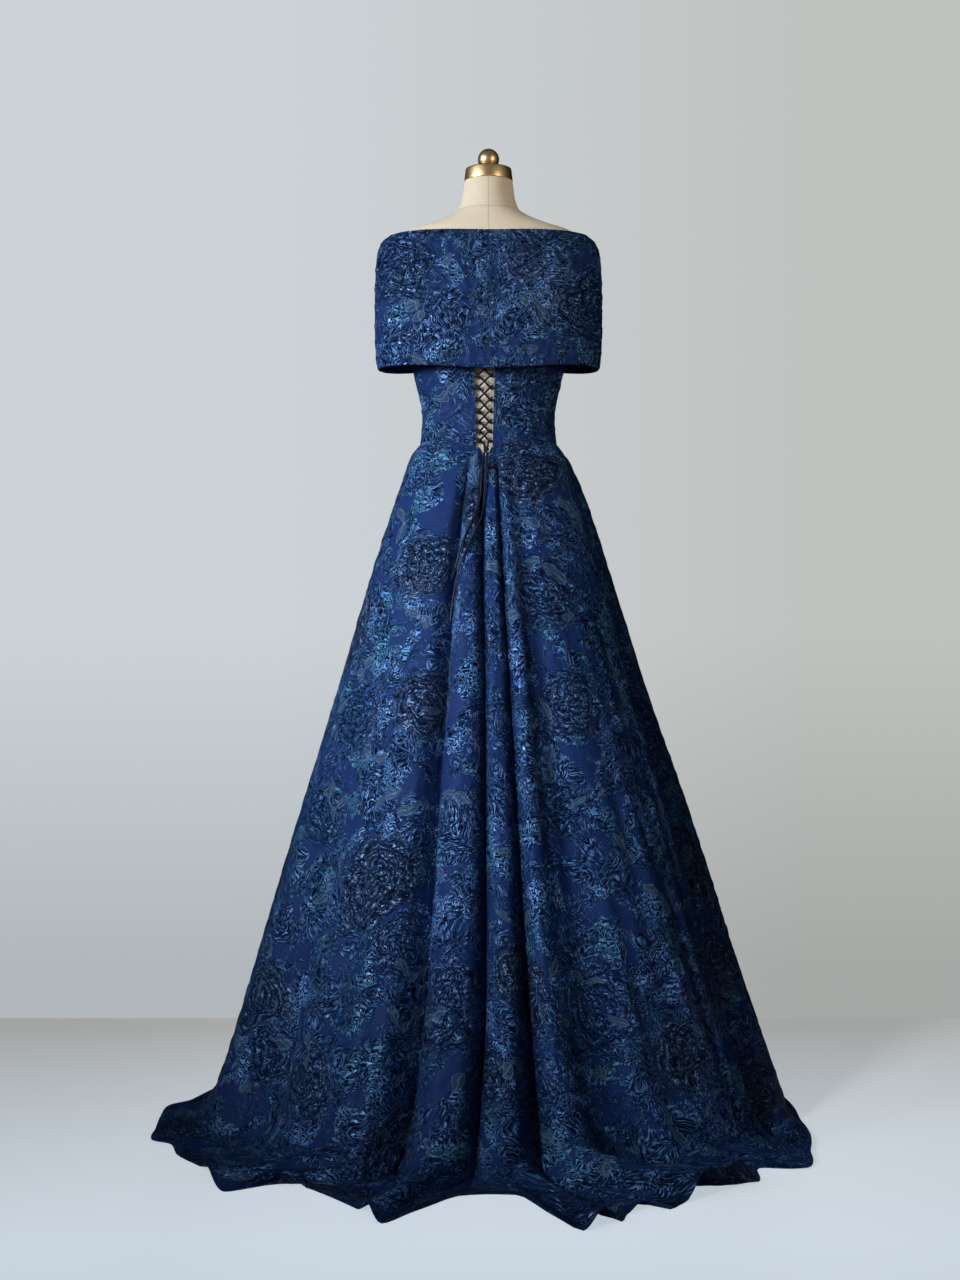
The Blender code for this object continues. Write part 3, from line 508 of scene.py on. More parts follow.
def new_material(name: str) -> tuple[Material, NodeTree, Node]:
    """New material with its nodes and its shader."""
    made = bpy.data.materials.new(name)
    made.use_nodes = True
    tree = made.node_tree
    return made, tree, tree.nodes["Principled BSDF"]


def own_place(tree: NodeTree) -> Any:
    """The piece's own coordinates, in metres."""
    return add_node(tree, "TexCoord", {}, {}).outputs["Object"]


def own_axis(tree: NodeTree, axis: int) -> Any:
    """One of the piece's own coordinates."""
    return add_node(tree, "SeparateXYZ", {}, {0: own_place(tree)}).outputs[axis]


def grain(tree: NodeTree, scale: float, detail: float, distortion: float = 0.0, stretch: Any = None) -> Any:
    """Noise on the piece's own coordinates, which may be scaled along each axis first."""
    place = own_place(tree)
    if stretch:
        place = add_node(tree, "Mapping", {}, {"Vector": place, "Scale": stretch})
    links = {"Vector": place, "Scale": scale, "Detail": detail, "Distortion": distortion}
    return add_node(tree, "TexNoise", {}, links).outputs["Fac"]


def relief(tree: NodeTree, height: Any, strength: float, distance: float) -> Node:
    """Bump of a height, with how deep it is in metres."""
    return add_node(tree, "Bump", {}, {"Strength": strength, "Distance": distance, "Height": height})


@dataclass(frozen=True)
class CrinkledBrocade:
    """Jacquard brocade woven of satin and shrinking yarn: flat satin ground, raised crinkled flowers."""

    name: str = "crinkled_brocade"
    # The satin ground's colour comes as a shaded copy and a lit copy, mixed in broad patches: painted light and shade.
    ground: str = "#16274d"
    ground_painted_lit: str = "#1d3264"
    # The darkest leaf and bloom colours are painted shade in the figures' creases, and the brightest are painted
    # highlights on their crests; the middle ones are the yarns' own colours.
    leaf_crease_shade: str = "#01040c"
    leaf_mid: str = "#15346a"
    leaf_crest_highlight: str = "#5f8fcb"
    leaf_teal_crest_highlight: str = "#528ab0"
    bloom_crease_shade: str = "#010308"
    bloom_mid: str = "#10244a"
    bloom_crest_highlight: str = "#7299bf"
    pale_leaf: str = "#2f435a"
    pale_rim: str = "#5d7585"
    crinkle_pitch: float = 0.0038
    stroke_width: float = 0.0026
    stroke_length: float = 0.0155
    leaf_size: float = 0.036
    clump_size: float = 0.095
    bloom_spacing: float = 0.215
    bloom_radius: float = 0.070
    bloom_edge: tuple[float, float] = (-0.003, 0.015)
    petal_pitch: float = 0.0125
    petal_scallop: float = 0.0085
    petal_crinkle: float = 0.0055
    pale_spacing: float = 0.085
    pale_half_length: float = 0.0165
    pale_half_width: float = 0.0098
    sway: float = 0.055
    raised: float = 0.0024
    sheen: str = "#d3e2ff"

    def build(self) -> Material:
        """The material, on the cloth's own flat map in metres."""
        made, tree, shader = new_material(self.name)
        flat = add_node(tree, "UVMap", {"uv_map": "cloth"}, {}).outputs[0]
        place = self.swayed(tree, flat)
        crinkle = self.crinkle(tree, flat)
        broad = self.noise(tree, flat, 0.14, 2.0)

        leaf_mask, leaf_height = self.leaves(tree, place, crinkle)
        bloom_mask, bloom_height, bloom_tone = self.blooms(tree, place, crinkle)
        pale_mask, pale_rim = self.pale_leaves(tree, place)

        # Painted light and shade in broad patches on the satin ground.
        ground = mix_colours(tree, broad, linear(self.ground), linear(self.ground_painted_lit))
        # The painted highlight for the leaves' crests, bluer or more teal in broad patches. Each figure's colour runs
        # by its height from painted crease shade, through its yarn's colour, to a painted crest highlight.
        teal = remap(tree, broad, 0.42, 0.62, 0.0, 1.0)
        tip = mix_colours(tree, teal, linear(self.leaf_crest_highlight), linear(self.leaf_teal_crest_highlight))
        leaf = self.ramp(tree, leaf_height, self.leaf_crease_shade, self.leaf_mid, tip)
        dark_bloom = self.ramp(tree, bloom_height, self.bloom_crease_shade, self.bloom_mid, linear(self.bloom_crest_highlight))
        blue_bloom = self.ramp(tree, bloom_height, self.leaf_crease_shade, self.leaf_mid, tip)
        bloom = mix_colours(tree, bloom_tone, blue_bloom, dark_bloom)
        pale = mix_colours(tree, pale_rim, linear(self.pale_leaf), linear(self.pale_rim))
        colour = mix_colours(tree, leaf_mask, ground, leaf)
        colour = mix_colours(tree, bloom_mask, colour, bloom)
        colour = mix_colours(tree, calc(tree, "MULTIPLY", pale_mask, 0.65), colour, pale)

        soft = calc(tree, "MULTIPLY", self.noise(tree, flat, 0.011, 1.0), 0.28)
        raised = calc(tree, "MULTIPLY_ADD", leaf_height, 0.9, 0.12)
        height = mix_numbers(tree, leaf_mask, soft, raised)
        height = mix_numbers(tree, bloom_mask, height, calc(tree, "MULTIPLY_ADD", bloom_height, 1.15, 0.1))
        height = mix_numbers(tree, pale_mask, height, calc(tree, "MULTIPLY_ADD", pale_rim, 0.15, soft))
        inputs = {
            "Base Color": colour,
            "Normal": relief(tree, height, 1.0, self.raised),
            "Roughness": remap(tree, height, 0.2, 0.9, 0.50, 0.26),
            "Specular IOR Level": remap(tree, height, 0.35, 0.9, 0.05, 0.55),
            "Specular Tint": linear(self.sheen),
        }
        feed(tree, shader, inputs)
        return made

    def noise(self, tree: NodeTree, place: Any, size: float, detail: float, distortion: float = 0.0) -> Any:
        """Flat noise whose blotches have a size in metres."""
        links = {"Vector": place, "Scale": 1 / size, "Detail": detail, "Distortion": distortion}
        return add_node(tree, "TexNoise", {"noise_dimensions": "2D"}, links).outputs["Fac"]

    def blend(self, tree: NodeTree, first: Any, second: Any, share: float) -> Any:
        """Sum of two heights, the first by its share and the second by the rest."""
        return calc(tree, "MULTIPLY_ADD", second, 1 - share, calc(tree, "MULTIPLY", first, share))

    def ramp(self, tree: NodeTree, height: Any, low: str, middle: str, high: Any) -> Any:
        """Colour of a raised figure: painted shade in its creases, painted highlights only along its crests."""
        body = mix_colours(tree, remap(tree, height, 0.20, 0.68, 0.0, 1.0), linear(low), linear(middle))
        return mix_colours(tree, remap(tree, height, 0.70, 1.0, 0.0, 1.0), body, high)

    def swayed(self, tree: NodeTree, flat: Any) -> Any:
        """The place on the cloth, swayed so that no figure is quite regular."""
        links = {"Vector": flat, "Scale": 14.0, "Detail": 2.0}
        sway = add_node(tree, "TexNoise", {"noise_dimensions": "2D"}, links).outputs["Color"]
        centred = add_node(tree, "VectorMath", {"operation": "SUBTRACT"}, {0: sway, 1: (0.5, 0.5, 0.5)})
        links = {0: centred, 1: (self.sway, self.sway, 0.0), 2: flat}
        return add_node(tree, "VectorMath", {"operation": "MULTIPLY_ADD"}, links).outputs[0]

    def ridges(self, tree: NodeTree, phase: Any) -> Any:
        """Rounded ridges with a narrow crease between them, one for each whole number of the phase."""
        return calc(tree, "ABSOLUTE", calc(tree, "SINE", calc(tree, "MULTIPLY", phase, math.pi)))

    def crinkle(self, tree: NodeTree, flat: Any) -> Any:
        """Worm-like crinkle of the shrunk yarn, along the level lines of a soft noise."""
        bend, blotch, drop = 5.4, 3.6 * self.crinkle_pitch, 2.6 * self.crinkle_pitch
        levels = self.noise(tree, flat, blotch, 1.2, 0.9)
        down = add_node(tree, "SeparateXYZ", {}, {0: flat}).outputs[1]
        phase = calc(tree, "MULTIPLY_ADD", levels, bend, calc(tree, "DIVIDE", down, drop))
        return self.ridges(tree, phase)

    def cells(self, tree: NodeTree, place: Any, size: float, randomness: float) -> tuple[Any, Any, Any]:
        """A scatter of cells: the place seen from the nearest centre, its node, and three chances of its own."""
        links = {"Vector": place, "Scale": 1 / size, "Randomness": randomness}
        node = add_node(tree, "TexVoronoi", {"voronoi_dimensions": "2D", "feature": "F1"}, links)
        local = add_node(
            tree, "VectorMath", {"operation": "SUBTRACT"}, {0: place, 1: node.outputs["Position"]}
        )
        chances = add_node(tree, "SeparateColor", {}, {0: node.outputs["Color"]})
        return local.outputs[0], node, chances

    def turned(self, tree: NodeTree, local: Any, chance: Any) -> tuple[Any, Any]:
        """Coordinates in a cell, turned to the cell's own direction."""
        links = {"Vector": local, "Angle": calc(tree, "MULTIPLY", chance, 2 * math.pi)}
        node = add_node(tree, "VectorRotate", {"rotation_type": "Z_AXIS"}, links)
        axes = add_node(tree, "SeparateXYZ", {}, {0: node})
        return axes.outputs[0], axes.outputs[1]

    def leaves(self, tree: NodeTree, place: Any, crinkle: Any) -> tuple[Any, Any]:
        """Clumps of leaves and petals, feathered by slanted veins or crinkled all over.

        Args:
            tree: The material's nodes.
            place: The swayed place on the cloth.
            crinkle: The fine crinkle, 0 to 1.

        Returns:
            The mask and the height, 0 to 1.
        """
        slope, spread, shift = -1.2, 1.4, 60.0
        stroke_share, clump_share, ragged = 0.78, 0.45, 0.075
        crinkled_leaves, bare, full = 0.28, 0.462, 0.532
        local, node, chances = self.cells(tree, place, self.leaf_size, 1.0)
        along, side = self.turned(tree, local, chances.outputs[0])
        side = calc(tree, "ABSOLUTE", side)
        slant = calc(tree, "MULTIPLY_ADD", side, slope, along)
        across = calc(tree, "DIVIDE", slant, self.stroke_width)
        down = calc(tree, "DIVIDE", calc(tree, "MULTIPLY_ADD", side, spread, along), self.stroke_length)
        down = calc(tree, "MULTIPLY_ADD", chances.outputs[2], shift, down)
        veins = add_node(tree, "CombineXYZ", {}, {0: across, 1: down}).outputs[0]
        strokes = remap(tree, self.noise(tree, veins, 1.0, 1.0, 0.5), 0.34, 0.66, 0.0, 1.0)
        feathered = self.blend(tree, strokes, crinkle, stroke_share)
        chosen = calc(tree, "GREATER_THAN", chances.outputs[1], crinkled_leaves)
        height = mix_numbers(tree, chosen, crinkle, feathered)
        clump = self.noise(tree, node.outputs["Position"], self.clump_size, 1.0)
        drift = self.noise(tree, place, self.clump_size * 0.45, 2.0)
        growth = self.blend(tree, clump, drift, clump_share)
        growth = calc(tree, "MULTIPLY_ADD", height, ragged, growth)
        return remap(tree, growth, bare, full, 0.0, 1.0), height

    def blooms(self, tree: NodeTree, place: Any, crinkle: Any) -> tuple[Any, Any, Any]:
        """Large blooms: overlapping petals in rings, with painted shade in the creases between them.

        Args:
            tree: The material's nodes.
            place: The swayed place on the cloth.
            crinkle: The fine crinkle, 0 to 1.

        Returns:
            The mask, the height, and the bloom's share of dark yarn.
        """
        whorls, arms, roundness = 95.0, 2.5, 0.36
        fine_share, smallest, largest, ragged = 0.35, 0.7, 1.15, 0.012
        local, _, chances = self.cells(tree, place, self.bloom_spacing, 0.75)
        reach = add_node(tree, "VectorMath", {"operation": "LENGTH"}, {0: local}).outputs["Value"]
        axes = add_node(tree, "SeparateXYZ", {}, {0: local})
        bearing = calc(tree, "ARCTAN2", axes.outputs[1], axes.outputs[0])
        whorl = calc(tree, "MULTIPLY_ADD", reach, whorls, calc(tree, "MULTIPLY", bearing, arms))
        scallop = self.ridges(tree, calc(tree, "DIVIDE", whorl, math.pi))
        petal = calc(tree, "MULTIPLY_ADD", scallop, -self.petal_scallop, reach)
        petal = calc(tree, "MULTIPLY_ADD", crinkle, self.petal_crinkle, petal)
        ring = self.ridges(tree, calc(tree, "DIVIDE", petal, self.petal_pitch))
        fine = self.ridges(tree, calc(tree, "DIVIDE", petal, self.petal_pitch / 3))
        texture = self.blend(tree, fine, crinkle, fine_share)
        height = calc(tree, "MULTIPLY", calc(tree, "POWER", ring, roundness), texture)
        radii = (self.bloom_radius * smallest, self.bloom_radius * largest)
        size = remap(tree, chances.outputs[1], 0.0, 1.0, *radii)
        within = calc(tree, "MULTIPLY_ADD", height, ragged, calc(tree, "SUBTRACT", size, petal))
        mask = remap(tree, within, *self.bloom_edge, 0.0, 1.0)
        return mask, height, remap(tree, chances.outputs[2], 0.25, 0.75, 0.0, 0.75)

    def pale_leaves(self, tree: NodeTree, place: Any) -> tuple[Any, Any]:
        """Small flat grey leaves, single or in pairs, with a paler vein and rim.

        Args:
            tree: The material's nodes.
            place: The swayed place on the cloth.

        Returns:
            The mask, and the mask of the vein and rim, 0 to 1.
        """
        pairs, leafless, pointedness = 0.5, 0.55, 1.7
        local, _, chances = self.cells(tree, place, self.pale_spacing, 1.0)
        along, side = self.turned(tree, local, chances.outputs[0])
        side = calc(tree, "ABSOLUTE", side)
        paired = calc(tree, "SUBTRACT", calc(tree, "ABSOLUTE", along), self.pale_half_length)
        is_pair = calc(tree, "GREATER_THAN", chances.outputs[2], pairs)
        share = calc(tree, "DIVIDE", mix_numbers(tree, is_pair, along, paired), self.pale_half_length)
        taper = calc(tree, "POWER", calc(tree, "ABSOLUTE", share), pointedness)
        taper = calc(tree, "SUBTRACT", 1.0, taper)
        within = calc(tree, "SUBTRACT", calc(tree, "MULTIPLY", taper, self.pale_half_width), side)
        shape = remap(tree, within, 0.0, 0.001, 0.0, 1.0)
        chosen = calc(tree, "GREATER_THAN", chances.outputs[1], leafless)
        vein = remap(tree, side, 0.0003, 0.0012, 1.0, 0.0)
        rim = remap(tree, within, 0.0012, 0.0026, 1.0, 0.0)
        return calc(tree, "MULTIPLY", shape, chosen), calc(tree, "MAXIMUM", vein, rim)


@dataclass(frozen=True)
class LinenCover:
    """Plain-woven unbleached linen stretched over the form: matt, faintly slubbed, sewn down the back."""

    name: str = "linen_cover"
    light: str = "#e4dac2"
    dark: str = "#d3c8ad"
    seam: str = "#9d9480"
    slub: float = 0.0045
    neck_seam: float = 1.597
    groove_flat: float = 0.0003
    groove_edge: float = 0.0016

    def build(self) -> Material:
        """The material, on the form's own coordinates."""
        made, tree, shader = new_material(self.name)
        threads = grain(tree, 1.0, 3.0, stretch=(1 / self.slub, 1 / self.slub, 4 / self.slub))
        from_back = calc(tree, "ABSOLUTE", own_axis(tree, 0))
        from_neck = calc(tree, "ABSOLUTE", calc(tree, "SUBTRACT", own_axis(tree, 2), self.neck_seam))
        nearest = calc(tree, "MINIMUM", from_back, from_neck)
        groove = remap(tree, nearest, self.groove_flat, self.groove_edge, 1.0, 0.0, "SMOOTHSTEP")
        cloth = mix_colours(tree, threads, linear(self.dark), linear(self.light))
        inputs = {
            "Base Color": mix_colours(tree, calc(tree, "MULTIPLY", groove, 0.45), cloth, linear(self.seam)),
            "Normal": relief(tree, calc(tree, "SUBTRACT", threads, groove), 0.5, 0.0005),
            "Roughness": 0.9,
            "Specular IOR Level": 0.2,
            "Sheen Weight": 0.15,
        }
        feed(tree, shader, inputs)
        return made


@dataclass(frozen=True)
class SpunBrass:
    """Lacquered brass, spun on a lathe: satin gold with faint turning lines round the axis."""

    name: str = "spun_brass"
    colour: str = "#e8cd9a"
    worn: str = "#d6b986"
    line_spacing: float = 0.0012

    def build(self) -> Material:
        """The material, on the fitting's own coordinates."""
        made, tree, shader = new_material(self.name)
        lines = grain(tree, 1.0, 2.0, stretch=(12.0, 12.0, 1 / self.line_spacing))
        inputs = {
            "Base Color": mix_colours(tree, grain(tree, 60.0, 3.0), linear(self.worn), linear(self.colour)),
            "Normal": relief(tree, lines, 0.2, 0.0002),
            "Roughness": remap(tree, lines, 0.3, 0.7, 0.34, 0.46),
            "Metallic": 1.0,
        }
        feed(tree, shader, inputs)
        return made


@dataclass(frozen=True)
class SatinCord:
    """Rolled satin rouleau: a soft navy cord with a diagonal twist."""

    name: str = "satin_cord"
    light: str = "#101b36"
    dark: str = "#050914"
    twist: float = 0.0034

    def build(self) -> Material:
        """The material, on the cord's own coordinates."""
        made, tree, shader = new_material(self.name)
        folds = grain(tree, 1 / self.twist, 2.0, 0.8)
        inputs = {
            "Base Color": mix_colours(tree, folds, linear(self.dark), linear(self.light)),
            "Normal": relief(tree, folds, 0.7, 0.0006),
            "Roughness": 0.5,
            "Specular IOR Level": 0.25,
        }
        feed(tree, shader, inputs)
        return made


@dataclass(frozen=True)
class PowderCoatedSteel:
    """Steel under a baked powder coat: dark, even, with a fine orange-peel texture."""

    name: str = "powder_coated_steel"
    colour: str = "#26272a"
    scuffed: str = "#34363a"
    peel: float = 0.0018

    def build(self) -> Material:
        """The material, on the part's own coordinates."""
        made, tree, shader = new_material(self.name)
        scuffs = grain(tree, 35.0, 5.0)
        inputs = {
            "Base Color": mix_colours(tree, scuffs, linear(self.colour), linear(self.scuffed)),
            "Normal": relief(tree, grain(tree, 1 / self.peel, 1.0), 0.3, 0.0003),
            "Roughness": 0.48,
        }
        feed(tree, shader, inputs)
        return made


@dataclass(frozen=True)
class PaintedFloor:
    """Pale poured floor with a soft satin seal."""

    name: str = "painted_floor"
    light: str = "#c2c4c5"
    dark: str = "#bcbfc0"
    near_painted_light: str = "#bdc8d2"
    far_painted_light: str = "#999a98"

    def build(self) -> Material:
        """The material, with a glow of painted light that only the camera sees, brighter in front of the form and
        darker by the wall, on the floor's own coordinates.
        """
        made, tree, shader = new_material(self.name)
        # Painted light: the glow is brighter in front of the form and dims towards the wall.
        depth = remap(tree, own_axis(tree, 1), -0.75, 0.6, 0.0, 1.0)
        depth = calc(tree, "MULTIPLY", depth, remap(tree, own_axis(tree, 1), 0.8, 2.2, 1.0, 0.0))
        inputs = {
            "Base Color": mix_colours(tree, grain(tree, 2.2, 3.0), linear(self.dark), linear(self.light)),
            "Emission Color": mix_colours(tree, depth, linear(self.near_painted_light), linear(self.far_painted_light)),
            "Emission Strength": add_node(tree, "LightPath", {}, {}).outputs["Is Camera Ray"],
            "Roughness": 0.42,
            "Specular IOR Level": 0.35,
        }
        feed(tree, shader, inputs)
        return made


@dataclass(frozen=True)
class PaintedWall:
    """Pale matt wall behind the form, painted brighter on the window's side and darker low down; clear when looked at
    from behind.
    """

    name: str = "painted_wall"
    window_side_painted_light: str = "#ccd3d7"
    far_side_painted_light: str = "#c0c2c0"

    def build(self) -> Material:
        """The material: black, with a glow of painted light that only the camera sees, brighter on the window's side
        and darker low down, on the wall's coordinates.
        """
        made, tree, shader = new_material(self.name)
        # Painted light: the glow is brighter on the window's side.
        side = remap(tree, own_axis(tree, 0), -0.46, 0.70, 0.0, 1.0)
        path = add_node(tree, "LightPath", {}, {})
        seen = path.outputs["Is Camera Ray"]
        # Painted shade: the glow dims towards the floor.
        strength = remap(tree, own_axis(tree, 2), 0.1, 0.85, 0.72, 1.0)
        inputs = {
            "Base Color": (0, 0, 0, 1),
            "Specular IOR Level": 0.0,
            "Emission Color": mix_colours(tree, side, linear(self.window_side_painted_light), linear(self.far_side_painted_light)),
            "Emission Strength": calc(tree, "MULTIPLY", strength, seen),
        }
        feed(tree, shader, inputs)
        behind = add_node(tree, "NewGeometry", {}, {}).outputs["Backfacing"]
        met = calc(tree, "MAXIMUM", seen, path.outputs["Is Glossy Ray"])
        solid = calc(tree, "MULTIPLY", met, calc(tree, "SUBTRACT", 1.0, behind))
        clear = add_node(tree, "BsdfTransparent", {}, {})
        surface = add_node(tree, "MixShader", {}, {0: solid, 1: clear, 2: shader})
        feed(tree, tree.nodes["Material Output"], {"Surface": surface})
        return made


@dataclass
class ClothPanel:
    """A panel cut from the brocade, sewn to its neighbours at seams that it stops short of."""

    node: str
    surface: Surface
    across: Grid
    run: Grid
    length: float
    offset: float
    held: Held
    puckers: Puckers
    rests_on: Sequence[str] = ()
    lowest: float = 0.0

    def sheet(self) -> Sheet:
        """The panel's grid, crinkled, with its thickness inside."""
        smooth = self.surface(self.across, self.run)
        outward = face_outward(self.surface, self.across, self.run)
        flat = lay_flat(smooth, self.length, self.run, self.offset)
        lift = self.puckers.lift(flat[..., 0], flat[..., 1])
        edge = edge_fade(lift.shape[0])[:, None] * edge_fade(lift.shape[1])[None, :]
        outer = smooth + outward * (lift * edge)[..., None]
        inner = outer - outward * CLOTH
        outer[..., 2] = np.maximum(outer[..., 2], self.lowest + CLOTH)
        inner[..., 2] = np.maximum(inner[..., 2], self.lowest)
        return Sheet(outer, inner, flat)

    def build(self, finish: Material) -> Object:
        """The panel as a piece of the part, in place of its solid."""
        sheet = self.sheet()
        piece = put(f"{self.node}_cloth", wall_mesh(f"{self.node}_cloth", sheet), finish)
        dress(piece, [self.node])
        width, length = sheet.cut()
        area = min(max(sheet.area(), LEAST_CUT * width * length), width * length)
        return piece


@dataclass
class Skirt:
    """The A-line skirt: a flared cone with its folds, that turns out along the floor into a train."""

    finish: Material
    waist: "Bodice"
    cut_length: float = 1.38
    centre_seam: float = -3.0
    right_seam: float = 68.0
    left_seam: float = -79.0
    notch_depth: float = 0.016
    notch_half_angle: float = 8.0
    seam_inset: float = 0.002
    ripple_height: float = 0.0021
    ripple_waves: Sequence[tuple[float, int, int, int]] = ((1.0, 29, 5, 0), (0.7, 43, -4, 1), (0.5, 61, 6, 2))
    columns: int = 215
    rows: int = 195

    def fold_angles(self, across: Grid, run: Grid) -> Grid:
        """Where cloth at a place across the skirt has got to round the body, at a run down it."""
        folded = np.array([fold.across for fold in SKIRT_FOLDS], float)
        known = np.concatenate([[folded[-1] - 360], folded, [folded[0] + 360]])
        rows = np.array([fold.angles for fold in SKIRT_FOLDS], float)
        rows = np.vstack([rows[-1] - 360, rows, rows[0] + 360])
        at_stations = np.stack([np.interp(across, known, rows[:, k]) for k in range(len(STATIONS))])
        return smooth_through(run, STATIONS, at_stations)

    def fold_lift(self, across: Grid, run: Grid) -> Grid:
        """How far the folds move the cloth out from its plain section."""
        lift = np.zeros(np.shape(across))
        fullness = 2.0 - smooth_through(run, (0.0, 0.8, 1.0), (0.0, 0.0, 1.0))
        for fold in SKIRT_FOLDS:
            t = np.clip(np.abs(wrapped(across - fold.across)) / fold.half_width, 0, 1)
            shape = (1 - t) ** 2 if fold.sharp else (1 - t**2) ** fullness
            lift = lift + smooth_through(run, STATIONS, fold.lifts) * 0.001 * shape
        return lift + self.ripples(across, run)

    def ripples(self, across: Grid, run: Grid) -> Grid:
        """Shallow drape between the folds, too slight for the solids."""
        turn = np.radians(across)
        waves = sum(
            weight * np.cos(count * turn + slope * run + phase) for weight, count, slope, phase in self.ripple_waves
        )
        return self.ripple_height * waves * smooth_through(run, (0.1, 0.5, 0.8, 0.95), (0.0, 0.6, 1.0, 0.0))

    def hem_rise(self, across: Grid, run: Grid) -> Grid:
        """How far the hem's rolls lift the cloth off the floor."""
        angle = wrapped(self.fold_angles(across, np.ones(np.shape(run))))
        height = read_table(angle, HEM_RISE, "angle", "height")
        return height * 0.001 * smooth_through(run, (0.86, 0.93, 1.0), (0.0, 0.45, 1.0))

    def plain(self, across: Grid, run: Grid) -> Grid:
        """The skirt without its folds."""
        degrees = self.fold_angles(across, run)
        left, right, back, front, height = (
            read_table(run, SKIRT_SECTIONS, "run", part) for part in ("left", "right", "back", "front", "height")
        )
        radius = oval_radius(np.radians(degrees), left, right, back, front)
        hem = read_table(wrapped(degrees), HEM_REACH, "angle", "radius")
        radius = radius + (hem - radius) * read_table(run, FLOOR_SPREAD, "run", "share")
        low = read_table(run, FLOOR_SPREAD, "run", "height")
        height = np.where(run > FLOOR_SPREAD[0].run, low, height) + self.hem_rise(across, run)
        top = self.waist.seam_height(degrees) - WAIST_GAP - self.waist.waist_height
        notch = np.clip(1 - np.abs(across - self.centre_seam) / self.notch_half_angle, 0, 1)
        height = height + (top - self.notch_depth * notch) * np.clip(1 - run / 0.12, 0, 1) ** 2
        return around(degrees, radius, height)

    def point(self, across: Grid, run: Grid) -> Grid:
        """Outer face of the skirt, with its folds."""
        across = wrapped(across)
        outward = face_outward(self.plain, across, run, 0.05, 0.0005)
        points = self.plain(across, run) + outward * self.fold_lift(across, run)[..., None]
        points[..., 2] = np.maximum(points[..., 2], CLOTH + FLOOR_LIFT)
        return points

    def panel(self, node: str, first: float, last: float, columns: int, offset: float) -> ClothPanel:
        """A panel between two seams."""
        t = np.linspace(0, 1, self.rows)
        run = smooth_through(t, (0, 0.08, 0.62, 1.0), (0, 0.035, 0.72, 1.0))
        across = inset(np.linspace(first, last, columns), self.seam_inset)
        grid_run, grid_across = np.meshgrid(run, across, indexing="ij")
        puckers = Puckers(seed=11 + int(offset * 10))
        return ClothPanel(
            node, self.point, grid_across, grid_run, self.cut_length, offset, Held.HUNG, puckers, lowest=FLOOR_LIFT
        )

    def build(self) -> None:
        """Back left, back right and front."""
        self.panel("skirt_back_left", self.left_seam, self.centre_seam, self.columns, 0.0).build(self.finish)
        self.panel("skirt_back_right", self.centre_seam, self.right_seam, self.columns, 3.1).build(self.finish)
        self.panel("skirt_front", self.right_seam, self.left_seam + 360, self.columns + 15, 6.2).build(self.finish)


@dataclass
class Bodice:
    """The fitted bodice, open down the laced centre back."""

    finish: Material
    waist_height: float = 1.181
    waist_dip: float = 0.016
    waist_dip_spread: float = 45.0
    dip_centre: float = -3.0
    back_top: float = 1.400
    front_top: float = 1.415
    opening_x: float = -0.0075
    opening_half_waist: float = 0.0140
    opening_half_top: float = 0.0215
    side_seam: float = 86.0
    cut_length: float = 0.23
    seam_inset: float = 0.1
    front_columns: int = 130
    laced_columns: int = 100
    rows: int = 110

    def seam_height(self, degrees: Grid) -> Grid:
        """The waist seam, which dips at the centre back."""
        share = np.clip(np.abs(degrees - self.dip_centre) / self.waist_dip_spread, 0, 1)
        return self.waist_height - self.waist_dip * (1 - share**2) ** 2

    def radius(self, degrees: Any, height: Any) -> Grid:
        """Radius of the bodice's outer face."""
        return girth_radius(FORM_GIRTHS, degrees, height) + BODY_EASE

    def opening_half(self, height: float) -> float:
        """Half of the laced opening, which widens from the waist up."""
        share = (height - self.waist_height) / (self.back_top - self.waist_height)
        return self.opening_half_waist + (self.opening_half_top - self.opening_half_waist) * share

    def point(self, degrees: Grid, share: Grid) -> Grid:
        """Outer face, a share of the way down from the top edge to the waist seam."""
        degrees = wrapped(degrees)
        low = self.seam_height(degrees)
        high = self.back_top + (self.front_top - self.back_top) * (1 - np.cos(np.radians(degrees))) / 2
        heights = high + share * (low - high)
        return around(degrees, self.radius(degrees, heights), heights)

    def panel(self, node: str, first: float, last: float, offset: float, opening_side: int = 0) -> ClothPanel:
        """A panel between two angles; the edge on the opening's side follows the opening."""
        columns = self.laced_columns if opening_side else self.front_columns
        shares = np.linspace(0, 1, self.rows)
        across = np.tile(inset(np.linspace(first, last, columns), self.seam_inset), (self.rows, 1))
        if opening_side:
            for row, share in zip(across, shares):
                height = self.back_top + share * (self.waist_height - self.back_top)
                edge_x = self.opening_x + opening_side * self.opening_half(height)
                edge = math.degrees(math.asin(edge_x / float(self.radius(0.0, height))))
                ends = (row[0], edge) if opening_side < 0 else (edge, row[-1])
                row[:] = np.linspace(*ends, columns)
        run = np.repeat(shares[:, None], columns, axis=1)
        puckers = Puckers(seed=21 + int(offset * 10), shortest=0.009, longest=0.03, height=0.00055)
        return ClothPanel(
            node, self.point, across, run, self.cut_length, offset, Held.STRETCHED, puckers, ("form_torso",)
        )

    def build(self) -> None:
        """The two laced backs and the front."""
        self.panel("bodice_back_left", -self.side_seam, 0.0, 9.3, -1).build(self.finish)
        self.panel("bodice_back_right", 0.0, self.side_seam, 10.4, 1).build(self.finish)
        self.panel("bodice_front", self.side_seam, 360 - self.side_seam, 11.5).build(self.finish)


